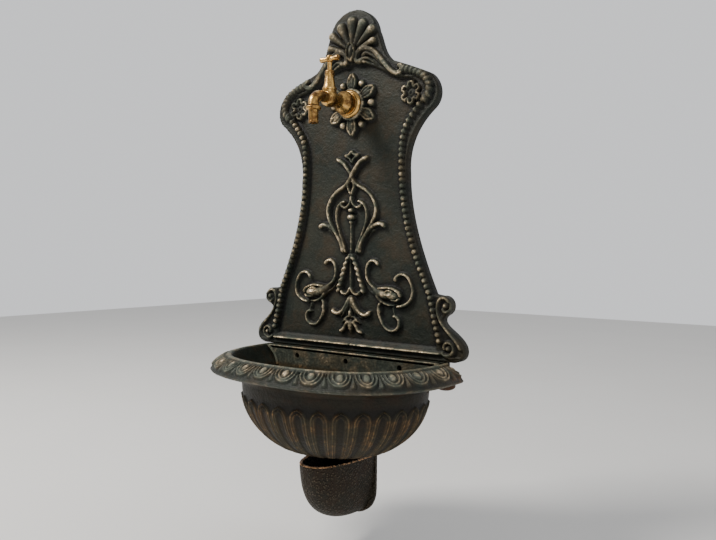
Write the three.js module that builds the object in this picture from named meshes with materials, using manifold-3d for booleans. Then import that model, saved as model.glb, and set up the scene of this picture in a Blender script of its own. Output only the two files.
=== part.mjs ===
// Cast wall fountain: a relief back plate with a brass bib tap, a fluted half-round basin with an
// egg-and-dart rim, and a small half-round cup below it. Millimetres, +Z up, front towards -Y.
// The origin is on the wall, on the rib across the back of the plate's waist.
import * as THREE from "three";
import { mergeVertices } from "three/addons/utils/BufferGeometryUtils.js";
import Module from "manifold-3d";

const wasm = await Module();
wasm.setup();

// Driving dimensions of the back plate
const PLATE_TOP = 254;
const PLATE_FOOT = -267;
const CREST_RADIUS = 45.5;
const WAIST_HALF = 100.4;
const KNOB_CENTRE_X = 162;
const KNOB_CENTRE_Z = -188.3;
const KNOB_RADIUS = 14.3;
const FOOT_HALF = 197.5;
const LEDGE_LEVEL = 12;
const FIELD_LEVEL = 8.5;
const EDGE_BEVEL = 2.5;
const CASTING_WALL = 4.5;
const RELIEF_RISE = 9;
const BOSS_LEVEL = 18;
const BACK_RIM = 8;
const RIB_WIDTH = 18;
const SCREW_HOLE_RADIUS = 3;

// Beads and gadroons of the border
const BEAD_PITCH = 8.8;
const BEAD_RADIUS = 4.2;
const BEAD_SIDES = 4;
const BEAD_SINK = 0.3;
const GADROON_PITCH = 11;
const GADROON_RADIUS = 5.5;
const FIELD_MARGIN = 6;

// Rosette behind the tap, and the two star flowers that hide the plate's screw holes
const INLET_Z = 110.5;
const INLET_HOLE_RADIUS = 12;
const ROSETTE_TIP_RADIUS = 47;
const ROSETTE_BOSS_RADIUS = 21;
const FLORET_X = 105.7;
const FLORET_Z = 116;
const FLORET_RADIUS = 17;

// Driving dimensions of the basin
const SEAT_GAP = 0.3;
const BASIN_TOP = PLATE_FOOT - SEAT_GAP;
const CREST_HALF_WIDTH = 171;
const CREST_FORWARD = 163;
const RIM_HALF_WIDTH = FOOT_HALF;
const RIM_FORWARD = 186;
const RIM_CENTRE_OUT = 17;
const RIM_END_OUT = 15;
const RIM_DROP = 21;
const RIM_LIP = 5;
const RIM_END_X = 168;
const RIM_SQUARENESS = 2.6;
const BOWL_CENTRE_OUT = 52;
const BOWL_HALF_WIDTH = 149;
const BOWL_FORWARD = 122;
const BOWL_SHOULDER = -306;
const BOWL_HEIGHT = 108.5;
const BOWL_FULLNESS = 2.24;
const BOWL_FLAT_CUT = 6;
const BOWL_FLOOR = BOWL_SHOULDER - BOWL_HEIGHT + BOWL_FLAT_CUT;
const BASIN_WALL = 5;
const PANEL_FACE = 24;
const PANEL_THICKNESS = 5;
const PANEL_HOLE_SPACING = 98;
const PANEL_HOLE_DROP = 15;
const DRAIN_RADIUS = 12;
const EGG_COUNT = 15;
const EGG_LENGTH = 22;
const TONGUE_COUNT = 19;
const TONGUE_SPAN = 2.05;
const TONGUE_RISE = 2.6;
const TONGUE_TOP_DROP = 18;

// Driving dimensions of the cup
const CUP_TOP = -422;
const CUP_BOTTOM = -514.2;
const CUP_HALF_WIDTH = 43;
const CUP_REACH = 114;
const CUP_FULLNESS = 2.85;
const CUP_WALL = 5;
const CUP_FLANGE_HALF = 44;
const CUP_FLANGE_THICKNESS = 5;
const CUP_FLANGE_DROP = 5;

// Driving dimensions of the tap
const TAIL_RADIUS = 10.4;
const ESCUTCHEON_RADIUS = 21.3;
const ESCUTCHEON_THICKNESS = 8;
const COLLAR_RADIUS = 17;
const BARREL_RADIUS = 9.5;
const SPINDLE_OUT = 67;
const SPOUT_OUT = 103;
const SPOUT_RADIUS = 8.2;
const NOZZLE_TOP = 94;
const NOZZLE_BOTTOM = 69;
const NOZZLE_RADIUS = 7.4;
const NOZZLE_COLLAR_RADIUS = 11;
const NOZZLE_COLLAR_HEIGHT = 6;
const NOZZLE_BORE_RADIUS = 4.6;
const BONNET_FOOT_Z = 122;
const BONNET_TOP_Z = 151;
const BONNET_FOOT_RADIUS = 10.6;
const BONNET_TOP_RADIUS = 6.4;
const SPINDLE_RADIUS = 3.5;
const SPINDLE_TOP_Z = 163.7;
const SPINDLE_DEPTH = 16;
const HANDLE_HALF_LENGTH = 18;
const HANDLE_RADIUS = 4;
const RUNNING_GAP = 0.3;

const bronze = () =>
  new THREE.MeshStandardMaterial({ color: 0x3a3a32, roughness: 0.6, metalness: 0.7 });
const brass = () =>
  new THREE.MeshStandardMaterial({ color: 0xc79a4b, roughness: 0.3, metalness: 0.9 });

// A closed geometry as a solid that can be joined and cut
function solidOf(geometry) {
  const bare = geometry.index ? geometry.toNonIndexed() : geometry.clone();
  bare.deleteAttribute("normal");
  bare.deleteAttribute("uv");
  const merged = mergeVertices(bare, 1e-4);
  return new wasm.Manifold(
    new wasm.Mesh({
      numProp: 3,
      vertProperties: new Float32Array(merged.attributes.position.array),
      triVerts: new Uint32Array(merged.index.array),
    }),
  );
}

function meshOf(name, solid, material) {
  const raw = solid.getMesh();
  const geometry = new THREE.BufferGeometry();
  geometry.setAttribute("position", new THREE.BufferAttribute(raw.vertProperties, 3));
  geometry.setIndex(new THREE.BufferAttribute(raw.triVerts, 1));
  geometry.computeVertexNormals();
  const mesh = new THREE.Mesh(geometry, material);
  mesh.name = name;
  return mesh;
}

const joined = (solids) => solids.reduce((all, next) => all.add(next));

// A block given by its low and high corners
function block(low, high) {
  const size = high.map((value, axis) => value - low[axis]);
  const geometry = new THREE.BoxGeometry(...size);
  geometry.translate(...low.map((value, axis) => value + size[axis] / 2));
  return solidOf(geometry);
}

// A drawn outline in X and Z, raised from one level above the wall to another
function raised(shape, fromLevel, toLevel, options = {}) {
  const geometry = new THREE.ExtrudeGeometry(shape, {
    depth: toLevel - fromLevel,
    bevelEnabled: false,
    curveSegments: 5,
    ...options,
  });
  geometry.rotateX(Math.PI / 2);
  geometry.translate(0, -fromLevel, 0);
  return solidOf(geometry);
}

// A round post that stands out of the wall
function post(x, z, radius, fromLevel, toLevel, sides = 16) {
  const geometry = new THREE.CylinderGeometry(radius, radius, toLevel - fromLevel, sides);
  geometry.translate(x, -(fromLevel + toLevel) / 2, z);
  return solidOf(geometry);
}

// A round post along Z
function upright(x, out, radius, low, high, sides = 20) {
  const geometry = new THREE.CylinderGeometry(radius, radius, high - low, sides);
  geometry.rotateX(Math.PI / 2);
  geometry.translate(x, -out, (low + high) / 2);
  return solidOf(geometry);
}

const smoothPath = (points) =>
  new THREE.CatmullRomCurve3(points.map(([x, z]) => new THREE.Vector3(x, 0, z)));

const mirroredPoints = (points) => points.map(([x, z]) => [-x, z]);

// One carved strand: a rod of few sides bent along a path that lies over the plate, as wide and as
// high as its swell says, with its underside on the level that it lies on
function strand(points, halfWidth, height, base, options = {}) {
  const { sides = 3, step = 14, swell = endTaper, turns = 0 } = options;
  const path = smoothPath(points);
  const steps = options.steps ?? Math.max(2, Math.round(path.getLength() / step));
  const geometry = new THREE.CylinderGeometry(1, 1, 1, sides, steps);
  const position = geometry.attributes.position;
  const out = new THREE.Vector3(0, -1, 0);
  const spin = new THREE.Vector2();
  for (let i = 0; i < position.count; i += 1) {
    const along = Math.min(1, Math.max(0, position.getY(i) + 0.5));
    const centre = path.getPointAt(along);
    const side = path.getTangentAt(along).cross(out);
    spin.set(position.getX(i), position.getZ(i));
    spin.rotateAround(new THREE.Vector2(), turns * 2 * Math.PI * along);
    const share = swell(along);
    const lift = base + height * share * Math.max(0, spin.y);
    centre.addScaledVector(side, spin.x * halfWidth * share * (sides === 3 ? 1.15 : 1));
    centre.addScaledVector(out, lift);
    position.setXYZ(i, centre.x, centre.y, centre.z);
  }
  return solidOf(geometry);
}

function endTaper(along) {
  return 0.35 + 0.65 * Math.min(1, 6 * Math.min(along, 1 - along));
}

// A leaf's swell, widest at the share of its length given
function leafSwell(widest) {
  return (along) => {
    const share = along < widest ? along / widest : (1 - along) / (1 - widest);
    return 0.12 + 0.88 * Math.sin((share * Math.PI) / 2);
  };
}

// The same strand on both sides of the plate's axis
function pair(points, ...rest) {
  return [strand(points, ...rest), strand(mirroredPoints(points), ...rest)];
}

// Beads at an even pitch along a path and along its mirror image
function beadRow(points, pitch, radius, base) {
  const path = smoothPath(points);
  const count = Math.round(path.getLength() / pitch);
  const places = path.getSpacedPoints(count);
  return places.flatMap((place) =>
    [-1, 1].map((side) => {
      const height = radius * 1.5;
      const geometry = new THREE.CylinderGeometry(0, radius, height, BEAD_SIDES);
      geometry.rotateX(Math.PI);
      geometry.translate(side * place.x, BEAD_SINK - base - height / 2, place.z);
      return solidOf(geometry);
    }),
  );
}

// Outline of the plate's right half from the top, then mirrored
function plateOutline() {
  const half = new THREE.Path();
  const crestCentre = PLATE_TOP - CREST_RADIUS;
  half.moveTo(0, PLATE_TOP);
  half.absarc(0, crestCentre, CREST_RADIUS, Math.PI / 2, 0.17, true);
  half.bezierCurveTo(52.5, 203, 52, 183, 70, 169);
  half.quadraticCurveTo(98, 158, 134, 142);
  half.bezierCurveTo(149, 134, 160, 107, 141, 91.5);
  half.bezierCurveTo(110, 67, WAIST_HALF - 3.4, 36, WAIST_HALF, 0);
  half.bezierCurveTo(WAIST_HALF, -58, 123, -118, 148, -172.5);
  half.lineTo(KNOB_CENTRE_X - 4, KNOB_CENTRE_Z + KNOB_RADIUS);
  half.absarc(KNOB_CENTRE_X, KNOB_CENTRE_Z, KNOB_RADIUS, 1.8, -1.15, true);
  half.bezierCurveTo(160, -206.5, 161, -212.5, 172, -220.5);
  half.bezierCurveTo(188, -232, FOOT_HALF, -240, FOOT_HALF, -251);
  half.quadraticCurveTo(FOOT_HALF, PLATE_FOOT + 2, FOOT_HALF - 19.5, PLATE_FOOT);
  return closedByMirror(half.getPoints(5));
}

function closedByMirror(points) {
  const right = points.filter((point, i) => i === 0 || point.distanceTo(points[i - 1]) > 0.5);
  const left = right
    .filter((point) => point.x > 0.01)
    .map((point) => new THREE.Vector2(-point.x, point.y))
    .reverse();
  return new THREE.Shape([...right, ...left]);
}

// The bead row's line, from the ear down to the foot
const BEAD_LINE = [
  [124, 100.5],
  [110, 85],
  [97, 65],
  [92, 40],
  [91.8, 5],
  [96, -40],
  [106.5, -88],
  [123.5, -134],
  [140.5, -173],
  [149.5, -209],
  [159.5, -246],
];

// The sunk field inside the border
function fieldOutline() {
  const half = new THREE.Path();
  half.moveTo(0, 172);
  half.bezierCurveTo(30, 172, 55, 158, 82, 141);
  half.quadraticCurveTo(118, 138, 123, 118);
  const line = smoothPath(BEAD_LINE).getSpacedPoints(12);
  line.slice(1, -1).forEach((point) => half.lineTo(point.x - FIELD_MARGIN, point.z));
  half.lineTo(150, PLATE_FOOT + 17);
  return closedByMirror(half.getPoints(4));
}

// The hollow of the plate's back, a rim's width inside the outline, with a rib left at the waist
function backHollow() {
  const half = new THREE.Path();
  const crestCentre = PLATE_TOP - CREST_RADIUS;
  half.moveTo(0, PLATE_TOP - BACK_RIM);
  half.absarc(0, crestCentre, CREST_RADIUS - BACK_RIM, Math.PI / 2, 0, true);
  half.bezierCurveTo(44, 192, 44, 176, 66, 161);
  half.quadraticCurveTo(98, 149, 131, 134);
  half.bezierCurveTo(142, 130, 150, 107, 134, 97);
  half.bezierCurveTo(103, 72, WAIST_HALF - BACK_RIM - 3, 38, WAIST_HALF - BACK_RIM, 0);
  half.bezierCurveTo(WAIST_HALF - BACK_RIM, -58, 115, -121, 141, -180);
  half.quadraticCurveTo(152, -214, FOOT_HALF - 32, PLATE_FOOT + 22);
  half.lineTo(FOOT_HALF - 32, PLATE_FOOT + BACK_RIM);
  const hollow = raised(closedByMirror(half.getPoints(3)), -1, FIELD_LEVEL - CASTING_WALL);
  const rib = block(
    [-WAIST_HALF, -LEDGE_LEVEL, -RIB_WIDTH / 2],
    [WAIST_HALF, LEDGE_LEVEL, RIB_WIDTH / 2],
  );
  const bosses = [-1, 1].map((side) => post(side * FLORET_X, FLORET_Z, 11, -2, LEDGE_LEVEL, 8));
  bosses.push(post(0, INLET_Z, ROSETTE_BOSS_RADIUS, -2, LEDGE_LEVEL, 12));
  return hollow.subtract(rib).subtract(joined(bosses));
}

// Palmette of fanned lobes with a bud at its foot, between two acanthus wings
function crestRelief() {
  const lobes = [];
  for (let k = -3; k <= 3; k += 1) {
    const angle = ((90 - 26 * k) * Math.PI) / 180;
    const reach = 55 - 2.4 * Math.abs(k);
    const ray = (share, bend) => [
      reach * share * Math.cos(angle + bend * k),
      190 + reach * share * Math.sin(angle + bend * k),
    ];
    const points = [ray(0.33, 0.04), ray(0.65, 0.02), ray(1, 0)];
    const width = 9 - 0.7 * Math.abs(k);
    lobes.push(strand(points, width, 7.5, LEDGE_LEVEL, { swell: leafSwell(0.75), steps: 3 }));
  }
  const bud = strand([[0, 172], [0, 190], [0, 209]], 9.5, 8.5, LEDGE_LEVEL, {
    swell: leafSwell(0.45),
    steps: 4,
  });
  const strap = [
    [15, 183],
    [13, 177],
    [7, 179],
    [8, 187],
    [18, 193],
    [34, 190],
    [52, 176],
    [70, 156],
    [84, 148],
    [91, 153],
    [84, 159],
  ];
  const leaves = [
    [[12, 187], [28, 184], [40, 176], [52, 165]],
    [[19, 181], [30, 177], [42, 168]],
    [[19, 176], [25, 174], [31, 170]],
  ];
  return [
    ...lobes,
    bud,
    ...pair(strap, 3.6, 7.5, LEDGE_LEVEL),
    ...leaves.flatMap((points) => pair(points, 3, 4.5, LEDGE_LEVEL, { steps: 2 })),
  ];
}

// Border: gadroons round the ears, beads down to the feet, a scrolled strap outside them
function borderRelief() {
  const gadroons = [[97, 151], [111, 147], [125, 139], [134, 127], [134, 113], [127, 103]];
  const strap = [
    [173, -183],
    [165, -177],
    [156, -182],
    [154, -196],
    [162, -211],
    [177, -227],
    [191, -245],
  ];
  const curl = [[170, -247], [175, -246], [173, -240], [166, -241], [164, -250], [170, -258], [188, -260]];
  const fillet = [[-150, PLATE_FOOT + 11], [0, PLATE_FOOT + 11], [150, PLATE_FOOT + 11]];
  return [
    ...beadRow(gadroons, GADROON_PITCH, GADROON_RADIUS, LEDGE_LEVEL),
    ...beadRow(BEAD_LINE, BEAD_PITCH, BEAD_RADIUS, LEDGE_LEVEL),
    ...pair(strap, 2.6, 4, LEDGE_LEVEL),
    ...pair(curl, 2.4, 4, LEDGE_LEVEL, { step: 7.5 }),
    ...[-1, 1].map((side) =>
      post(side * (KNOB_CENTRE_X + 4), KNOB_CENTRE_Z + 2, 5, LEDGE_LEVEL - 1, LEDGE_LEVEL + 3, 6),
    ),
    strand(fillet, 2.6, 5, LEDGE_LEVEL - 1, { steps: 2, swell: () => 1 }),
  ];
}

// Six pointed leaves with a berry between each two, round the tap's hole
function rosetteRelief() {
  const parts = [post(0, INLET_Z, ROSETTE_BOSS_RADIUS, FIELD_LEVEL - 1, BOSS_LEVEL, 16)];
  for (let k = 0; k < 6; k += 1) {
    const ray = (radius, turn) => {
      const angle = ((90 + 60 * k + turn) * Math.PI) / 180;
      return [radius * Math.cos(angle), INLET_Z + radius * Math.sin(angle)];
    };
    const leaf = [ray(16, 0), ray(33, 0), ray(ROSETTE_TIP_RADIUS, 0)];
    parts.push(strand(leaf, 9.5, RELIEF_RISE, FIELD_LEVEL, { swell: leafSwell(0.5), steps: 3 }));
    const berry = [ray(29, 30), ray(38, 30)];
    parts.push(
      strand(berry, 4.6, RELIEF_RISE, FIELD_LEVEL, { swell: leafSwell(0.5), steps: 2 }),
    );
  }
  return parts;
}

function floretRelief(side) {
  const petals = [];
  for (let k = 0; k < 6; k += 1) {
    const angle = (60 * k * Math.PI) / 180;
    const ray = (radius) => [
      side * FLORET_X + radius * Math.cos(angle),
      FLORET_Z + radius * Math.sin(angle),
    ];
    petals.push(
      strand([ray(4), ray(9), ray(FLORET_RADIUS)], 4.6, 6, FIELD_LEVEL, {
        swell: leafSwell(0.5),
        steps: 2,
      }),
    );
  }
  return petals;
}

// The tall arabesque: crossed straps, lyre, side leaves, rope tent, beasts' heads, loops and husks
function arabesqueRelief() {
  const base = FIELD_LEVEL;
  const lyre = [
    [27, 29],
    [16, 25],
    [6, 15],
    [0, 6],
    [-7, -8],
    [-22, -16],
    [-37, -28],
    [-44, -46],
    [-40, -64],
    [-31, -82],
    [-20, -100],
    [-13, -116],
  ];
  const hook = [[1, -33], [4, -41], [12, -45], [19, -41], [14, -36]];
  const innerArc = [[13, -36], [24, -42], [29, -56], [25, -74], [17, -96], [11, -114]];
  const sideLeaf = [[62, -76], [51, -71], [38, -78], [25, -92], [18, -113]];
  const ropeSide = [[0, -118], [8, -131], [16, -150], [24, -176]];
  const toe = [[0, -168], [5, -177], [12, -177], [18, -172]];
  const neckCurl = [[50, -133], [42, -127], [33, -131], [30, -145], [37, -160], [50, -168]];
  const head = [[38, -164], [56, -170], [73, -173], [91, -180]];
  const jaw = [[88, -188], [72, -190], [58, -187], [49, -179]];
  const tail = [[80, -154], [92, -146], [105, -151], [111, -168], [104, -185], [87, -192]];
  const loop = [[53, -189], [53, -201], [59, -217], [70, -229], [84, -226], [89, -216], [80, -209]];
  const palmCurl = [[4, -187], [12, -201], [24, -210], [37, -202]];
  const star = new THREE.Shape();
  star.moveTo(0, 41);
  star.quadraticCurveTo(3, 33, 13, 33);
  star.quadraticCurveTo(3, 31, 0, 22);
  star.quadraticCurveTo(-3, 31, -13, 33);
  star.quadraticCurveTo(-3, 33, 0, 41);
  const drop = (top, low, half, rise = RELIEF_RISE) =>
    strand([[0, top], [0, (top + low) / 2], [0, low]], half, rise, base, {
      swell: leafSwell(0.5),
      steps: 2,
    });
  return [
    ...pair(lyre, 3.4, RELIEF_RISE, base),
    raised(star, base - 1, base + RELIEF_RISE - 1, { curveSegments: 2 }),
    drop(-9, -29, 6),
    ...pair(hook, 2.4, 5.5, base, { step: 8 }),
    ...pair(innerArc, 2.6, 5.5, base),
    drop(-44, -56, 6),
    drop(-55, -69, 8),
    strand([[0, -66], [0, -90], [0, -116]], 2.2, 5, base, { steps: 2 }),
    ...pair(sideLeaf, 3.4, RELIEF_RISE, base),
    ...pair(ropeSide, 4, RELIEF_RISE, base, { turns: 1, step: 8 }),
    strand([[0, -122], [0, -146], [0, -170]], 2.4, 5, base, { steps: 2 }),
    ...pair(toe, 2.8, 5.5, base, { steps: 2 }),
    ...pair(neckCurl, 3.2, RELIEF_RISE, base),
    ...pair(head, 9.5, 8, base, { swell: leafSwell(0.72), steps: 4 }),
    ...pair(jaw, 4.2, RELIEF_RISE, base),
    ...pair(tail, 2.9, RELIEF_RISE, base, { step: 12 }),
    ...pair(loop, 3.1, RELIEF_RISE, base, { step: 12 }),
    drop(-181, -203, 8, 8),
    ...pair(palmCurl, 3.6, RELIEF_RISE, base),
    drop(-198, -220, 5),
    ...pair([[1, -212], [7, -213], [14, -219]], 3, 5, base, { steps: 2 }),
    drop(-220, -238, 5),
    ...pair([[3, -223], [9, -228], [19, -237]], 3.4, 6, base, { steps: 2 }),
  ];
}

function backplate() {
  const bevel = {
    bevelEnabled: true,
    bevelSize: EDGE_BEVEL,
    bevelThickness: EDGE_BEVEL,
    bevelOffset: -EDGE_BEVEL,
    bevelSegments: 1,
  };
  const slab = raised(plateOutline(), -EDGE_BEVEL, LEDGE_LEVEL - EDGE_BEVEL, bevel);
  const behindWall = block([-FOOT_HALF - 10, 0, PLATE_FOOT - 10], [FOOT_HALF + 10, 20, PLATE_TOP + 10]);
  const field = raised(fieldOutline(), FIELD_LEVEL, LEDGE_LEVEL + 5);
  const relief = joined([
    ...crestRelief(),
    ...borderRelief(),
    ...rosetteRelief(),
    ...floretRelief(-1),
    ...floretRelief(1),
    ...arabesqueRelief(),
  ]);
  const holes = [-1, 1].map((side) =>
    post(side * FLORET_X, FLORET_Z, SCREW_HOLE_RADIUS, -5, 30, 8),
  );
  holes.push(post(0, INLET_Z, INLET_HOLE_RADIUS, -5, 30, 16));
  return slab
    .subtract(field)
    .subtract(behindWall)
    .subtract(backHollow())
    .add(relief)
    .subtract(joined(holes));
}

// One level of the basin: its plan is a rounded D or an ellipse, its centre a way out of the wall
const level = (halfWidth, forward, centreOut, squareness, z) => ({
  halfWidth,
  forward,
  centreOut,
  squareness,
  z,
});

// A skin through a list of levels, closed at both ends on the axis. Segment k lies at angle
// angles[k], with 0 straight out of the wall; relief pushes a point outwards.
function levelledSkin(levels, angles, relief = () => 0) {
  const count = levels.length + 2;
  const profile = [...Array(count)].map((_, j) => {
    const onAxis = j === 0 || j === count - 1;
    return new THREE.Vector2(onAxis ? 0 : 1, j);
  });
  const geometry = new THREE.LatheGeometry(profile, angles.length);
  const position = geometry.attributes.position;
  for (let i = 0; i < position.count; i += 1) {
    const j = i % count;
    const angle = angles[Math.floor(i / count) % angles.length];
    const here = levels[Math.min(levels.length - 1, Math.max(0, j - 1))];
    const onAxis = j === 0 || j === count - 1 ? 0 : 1;
    const power = 2 / here.squareness;
    const sine = Math.sign(Math.sin(angle)) * Math.abs(Math.sin(angle)) ** power;
    const cosine = Math.sign(Math.cos(angle)) * Math.abs(Math.cos(angle)) ** power;
    const push = 1 + relief(angle, here.z) / here.halfWidth;
    position.setXYZ(
      i,
      onAxis * here.halfWidth * sine * push,
      -(here.centreOut + onAxis * here.forward * cosine * push),
      here.z,
    );
  }
  return solidOf(geometry);
}

// Angles along the part of a plan in front of the wall, in even groups, and a few behind it
function planAngles(groups, reach, stops = [0]) {
  const pitch = (2 * reach) / groups;
  const starts = [...Array(groups)].map((_, k) => -reach + pitch * k);
  const front = [...starts.flatMap((start) => stops.map((stop) => start + stop * pitch)), reach];
  const backCount = 3;
  const back = [...Array(backCount)].map(
    (_, k) => reach + ((2 * Math.PI - 2 * reach) * (k + 1)) / (backCount + 1),
  );
  return [...front, ...back];
}

const bowlLevel = (share, inset) => {
  const narrowing = Math.max(0, 1 - share ** BOWL_FULLNESS) ** (1 / BOWL_FULLNESS);
  return level(
    (BOWL_HALF_WIDTH - inset) * narrowing,
    (BOWL_FORWARD - inset) * narrowing,
    BOWL_CENTRE_OUT,
    2,
    BOWL_SHOULDER - (BOWL_HEIGHT - inset) * share,
  );
};

// The share of the bowl's height at which its underside reaches a height above the floor
const shareAt = (z, inset) => (BOWL_SHOULDER - z) / (BOWL_HEIGHT - inset);

function rimLevels(inset) {
  const crest = (grow, z) =>
    level(CREST_HALF_WIDTH + grow, CREST_FORWARD + grow, RIM_CENTRE_OUT, RIM_SQUARENESS, z);
  const edge = (grow, z) =>
    level(RIM_HALF_WIDTH + grow, RIM_FORWARD + grow, RIM_CENTRE_OUT, RIM_SQUARENESS, z);
  if (inset > 0) {
    return [
      crest(-12 - inset, BASIN_TOP - 24),
      crest(-RIM_LIP, BASIN_TOP - RIM_LIP),
      crest(-RIM_LIP, BASIN_TOP + 10),
    ];
  }
  return [
    crest(-6, BASIN_TOP - RIM_DROP - 9),
    edge(-6, BASIN_TOP - RIM_DROP - RIM_LIP),
    edge(0, BASIN_TOP - RIM_DROP),
    crest(RIM_LIP, BASIN_TOP - 4),
    crest(0, BASIN_TOP),
  ];
}

// The tongues round the bowl: raised round-topped strips with a groove between, tapering downwards
function tongueRelief(angle, z) {
  const top = BOWL_SHOULDER - TONGUE_TOP_DROP;
  const place = ((angle + TONGUE_SPAN) / (2 * TONGUE_SPAN)) * TONGUE_COUNT;
  const across = Math.abs((place % 1) - 0.5) * 2;
  const inside = Math.abs(angle) <= TONGUE_SPAN && z < top + 0.1 && z > BOWL_FLOOR + 4;
  return inside && across < 0.7 ? TONGUE_RISE : 0;
}

// Eggs round the sloping rim, each an oval strand laid down the slope
function eggs() {
  const parts = [];
  const arc = rimArc(600);
  for (let k = 0; k < EGG_COUNT; k += 1) {
    const at = arc[Math.round(((k + 0.5) / EGG_COUNT) * (arc.length - 1))];
    const geometry = new THREE.SphereGeometry(1, 6, 3);
    geometry.scale(8, 5.5, EGG_LENGTH / 2);
    geometry.rotateX(-0.75);
    geometry.rotateZ(at.turn);
    geometry.translate(at.x, -at.out, BASIN_TOP - RIM_DROP / 2 - 1);
    parts.push(solidOf(geometry));
  }
  return joined(parts);
}

// Points at even steps along the middle of the rim, each with the way it faces
function rimArc(samples) {
  const halfWidth = (CREST_HALF_WIDTH + RIM_LIP + RIM_HALF_WIDTH) / 2;
  const forward = (CREST_FORWARD + RIM_LIP + RIM_FORWARD) / 2;
  const raw = [...Array(samples + 1)].map((_, k) => {
    const angle = -Math.PI / 2 + (Math.PI * k) / samples;
    const power = 2 / RIM_SQUARENESS;
    const x = halfWidth * Math.sign(Math.sin(angle)) * Math.abs(Math.sin(angle)) ** power;
    const out = RIM_CENTRE_OUT + forward * Math.abs(Math.cos(angle)) ** power;
    return new THREE.Vector2(x, out);
  });
  const spaced = new THREE.SplineCurve(raw.filter((_, k) => k % 20 === 0)).getSpacedPoints(samples);
  return spaced.map((point, k) => {
    const before = spaced[Math.max(0, k - 1)];
    const after = spaced[Math.min(samples, k + 1)];
    const turn = Math.atan2(-(after.y - before.y), after.x - before.x);
    return { x: point.x, out: point.y, turn };
  });
}

function basin() {
  const angles = planAngles(TONGUE_COUNT, TONGUE_SPAN, [0, 0.18, 0.82]);
  const plainAngles = planAngles(24, TONGUE_SPAN);
  const floorShare = shareAt(BOWL_FLOOR, 0);
  const tongueTopShare = TONGUE_TOP_DROP / BOWL_HEIGHT;
  const outer = levelledSkin(
    [floorShare, 0.82, 0.6, 0.37, tongueTopShare].map((share) => bowlLevel(share, 0)),
    angles,
    tongueRelief,
  );
  const rim = levelledSkin(
    [bowlLevel(tongueTopShare + 0.01, 0), bowlLevel(0, 0), ...rimLevels(0)],
    plainAngles,
  );
  const innerFloor = shareAt(BOWL_FLOOR + BASIN_WALL, BASIN_WALL);
  const innerShares = [innerFloor, 0.75, 0.4, 0];
  const inner = levelledSkin(
    [...innerShares.map((share) => bowlLevel(share, BASIN_WALL)), ...rimLevels(BASIN_WALL)],
    plainAngles,
  );
  const far = 400;
  const behindWall = block([-far, 0, -far * 2], [far, far, far]);
  const behindPanel = block([-far, -PANEL_FACE, -far * 2], [far, far, far]);
  const hollow = inner.subtract(behindPanel);
  const panelBack = PANEL_FACE - PANEL_THICKNESS;
  const backRoom = inner.intersect(block([-far, -panelBack, BOWL_FLOOR - 5], [far, 5, BASIN_TOP - 6]));
  const pads = [-1, 0, 1].map((side) =>
    post(side * PANEL_HOLE_SPACING, BASIN_TOP - PANEL_HOLE_DROP, 10, 0, panelBack + 1, 12),
  );
  const fixingPads = [-1, 1].map((side) =>
    block(
      [side * 49 - 14, -panelBack - 1, BASIN_TOP - PANEL_HOLE_DROP - 9],
      [side * 49 + 14, 0, BASIN_TOP - PANEL_HOLE_DROP + 9],
    ),
  );
  const holes = [-1, 0, 1].map((side) =>
    post(side * PANEL_HOLE_SPACING, BASIN_TOP - PANEL_HOLE_DROP, 3.2, -5, far, 8),
  );
  const frontHoles = joined(holes).intersect(block([-far, -PANEL_FACE - 3, -far], [far, far, far]));
  const drain = upright(0, BOWL_CENTRE_OUT, DRAIN_RADIUS, BOWL_FLOOR - 10, BOWL_FLOOR + 20, 12);
  const rimEnds = [-1, 1].map((side) =>
    block(
      [side * RIM_END_X - 10, -16, BASIN_TOP - RIM_DROP - 24],
      [side * RIM_END_X + 10, -2, BASIN_TOP - RIM_DROP - 6],
    ),
  );
  const rimEndGaps = [-1, 1].map((side) =>
    block([side * 270 - 100 + side * 2, -RIM_END_OUT, -far], [side * 270 + 100 + side * 2, 5, 0]),
  );
  return outer
    .add(rim)
    .add(eggs())
    .subtract(joined(rimEndGaps))
    .add(joined(rimEnds))
    .subtract(hollow)
    .subtract(backRoom)
    .subtract(behindWall)
    .add(joined([...pads, ...fixingPads]))
    .subtract(frontHoles)
    .subtract(drain);
}

// The cup: half-round and open above, closed by a flat flange at the wall
function lowerCup() {
  const height = CUP_TOP - CUP_BOTTOM;
  const cupLevel = (share, inset) => {
    const narrowing = (1 - share ** CUP_FULLNESS) ** (1 / CUP_FULLNESS);
    const lean = 1 - 0.07 * share;
    return level(
      (CUP_HALF_WIDTH - inset) * narrowing * lean,
      (CUP_REACH - inset) * narrowing * lean,
      0,
      2.4,
      CUP_TOP - (height - inset) * share,
    );
  };
  const shares = [0.985, 0.93, 0.8, 0.6, 0.3, 0];
  const angles = planAngles(16, Math.PI / 2);
  const outer = levelledSkin(shares.map((share) => cupLevel(share, 0)), angles);
  const mouth = { ...cupLevel(0, CUP_WALL), z: CUP_TOP + 10 };
  const inner = levelledSkin([...shares.map((share) => cupLevel(share, CUP_WALL)), mouth], angles);
  const far = 300;
  const behindWall = block([-far, 0, -2 * far], [far, far, far]);
  const behindFlange = block([-far, -CUP_FLANGE_THICKNESS, -2 * far], [far, far, far]);
  const half = CUP_FLANGE_HALF;
  const top = BOWL_FLOOR - CUP_FLANGE_DROP;
  const foot = CUP_BOTTOM - 2;
  const flange = new THREE.Shape();
  flange.moveTo(-half, top);
  flange.lineTo(half, top);
  flange.lineTo(half, foot + 44);
  flange.bezierCurveTo(half, foot + 13, 24, foot, 0, foot);
  flange.bezierCurveTo(-24, foot, -half, foot + 13, -half, foot + 44);
  const plate = raised(flange, 0, CUP_FLANGE_THICKNESS);
  return outer.subtract(inner.subtract(behindFlange)).subtract(behindWall).add(plate);
}

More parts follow.
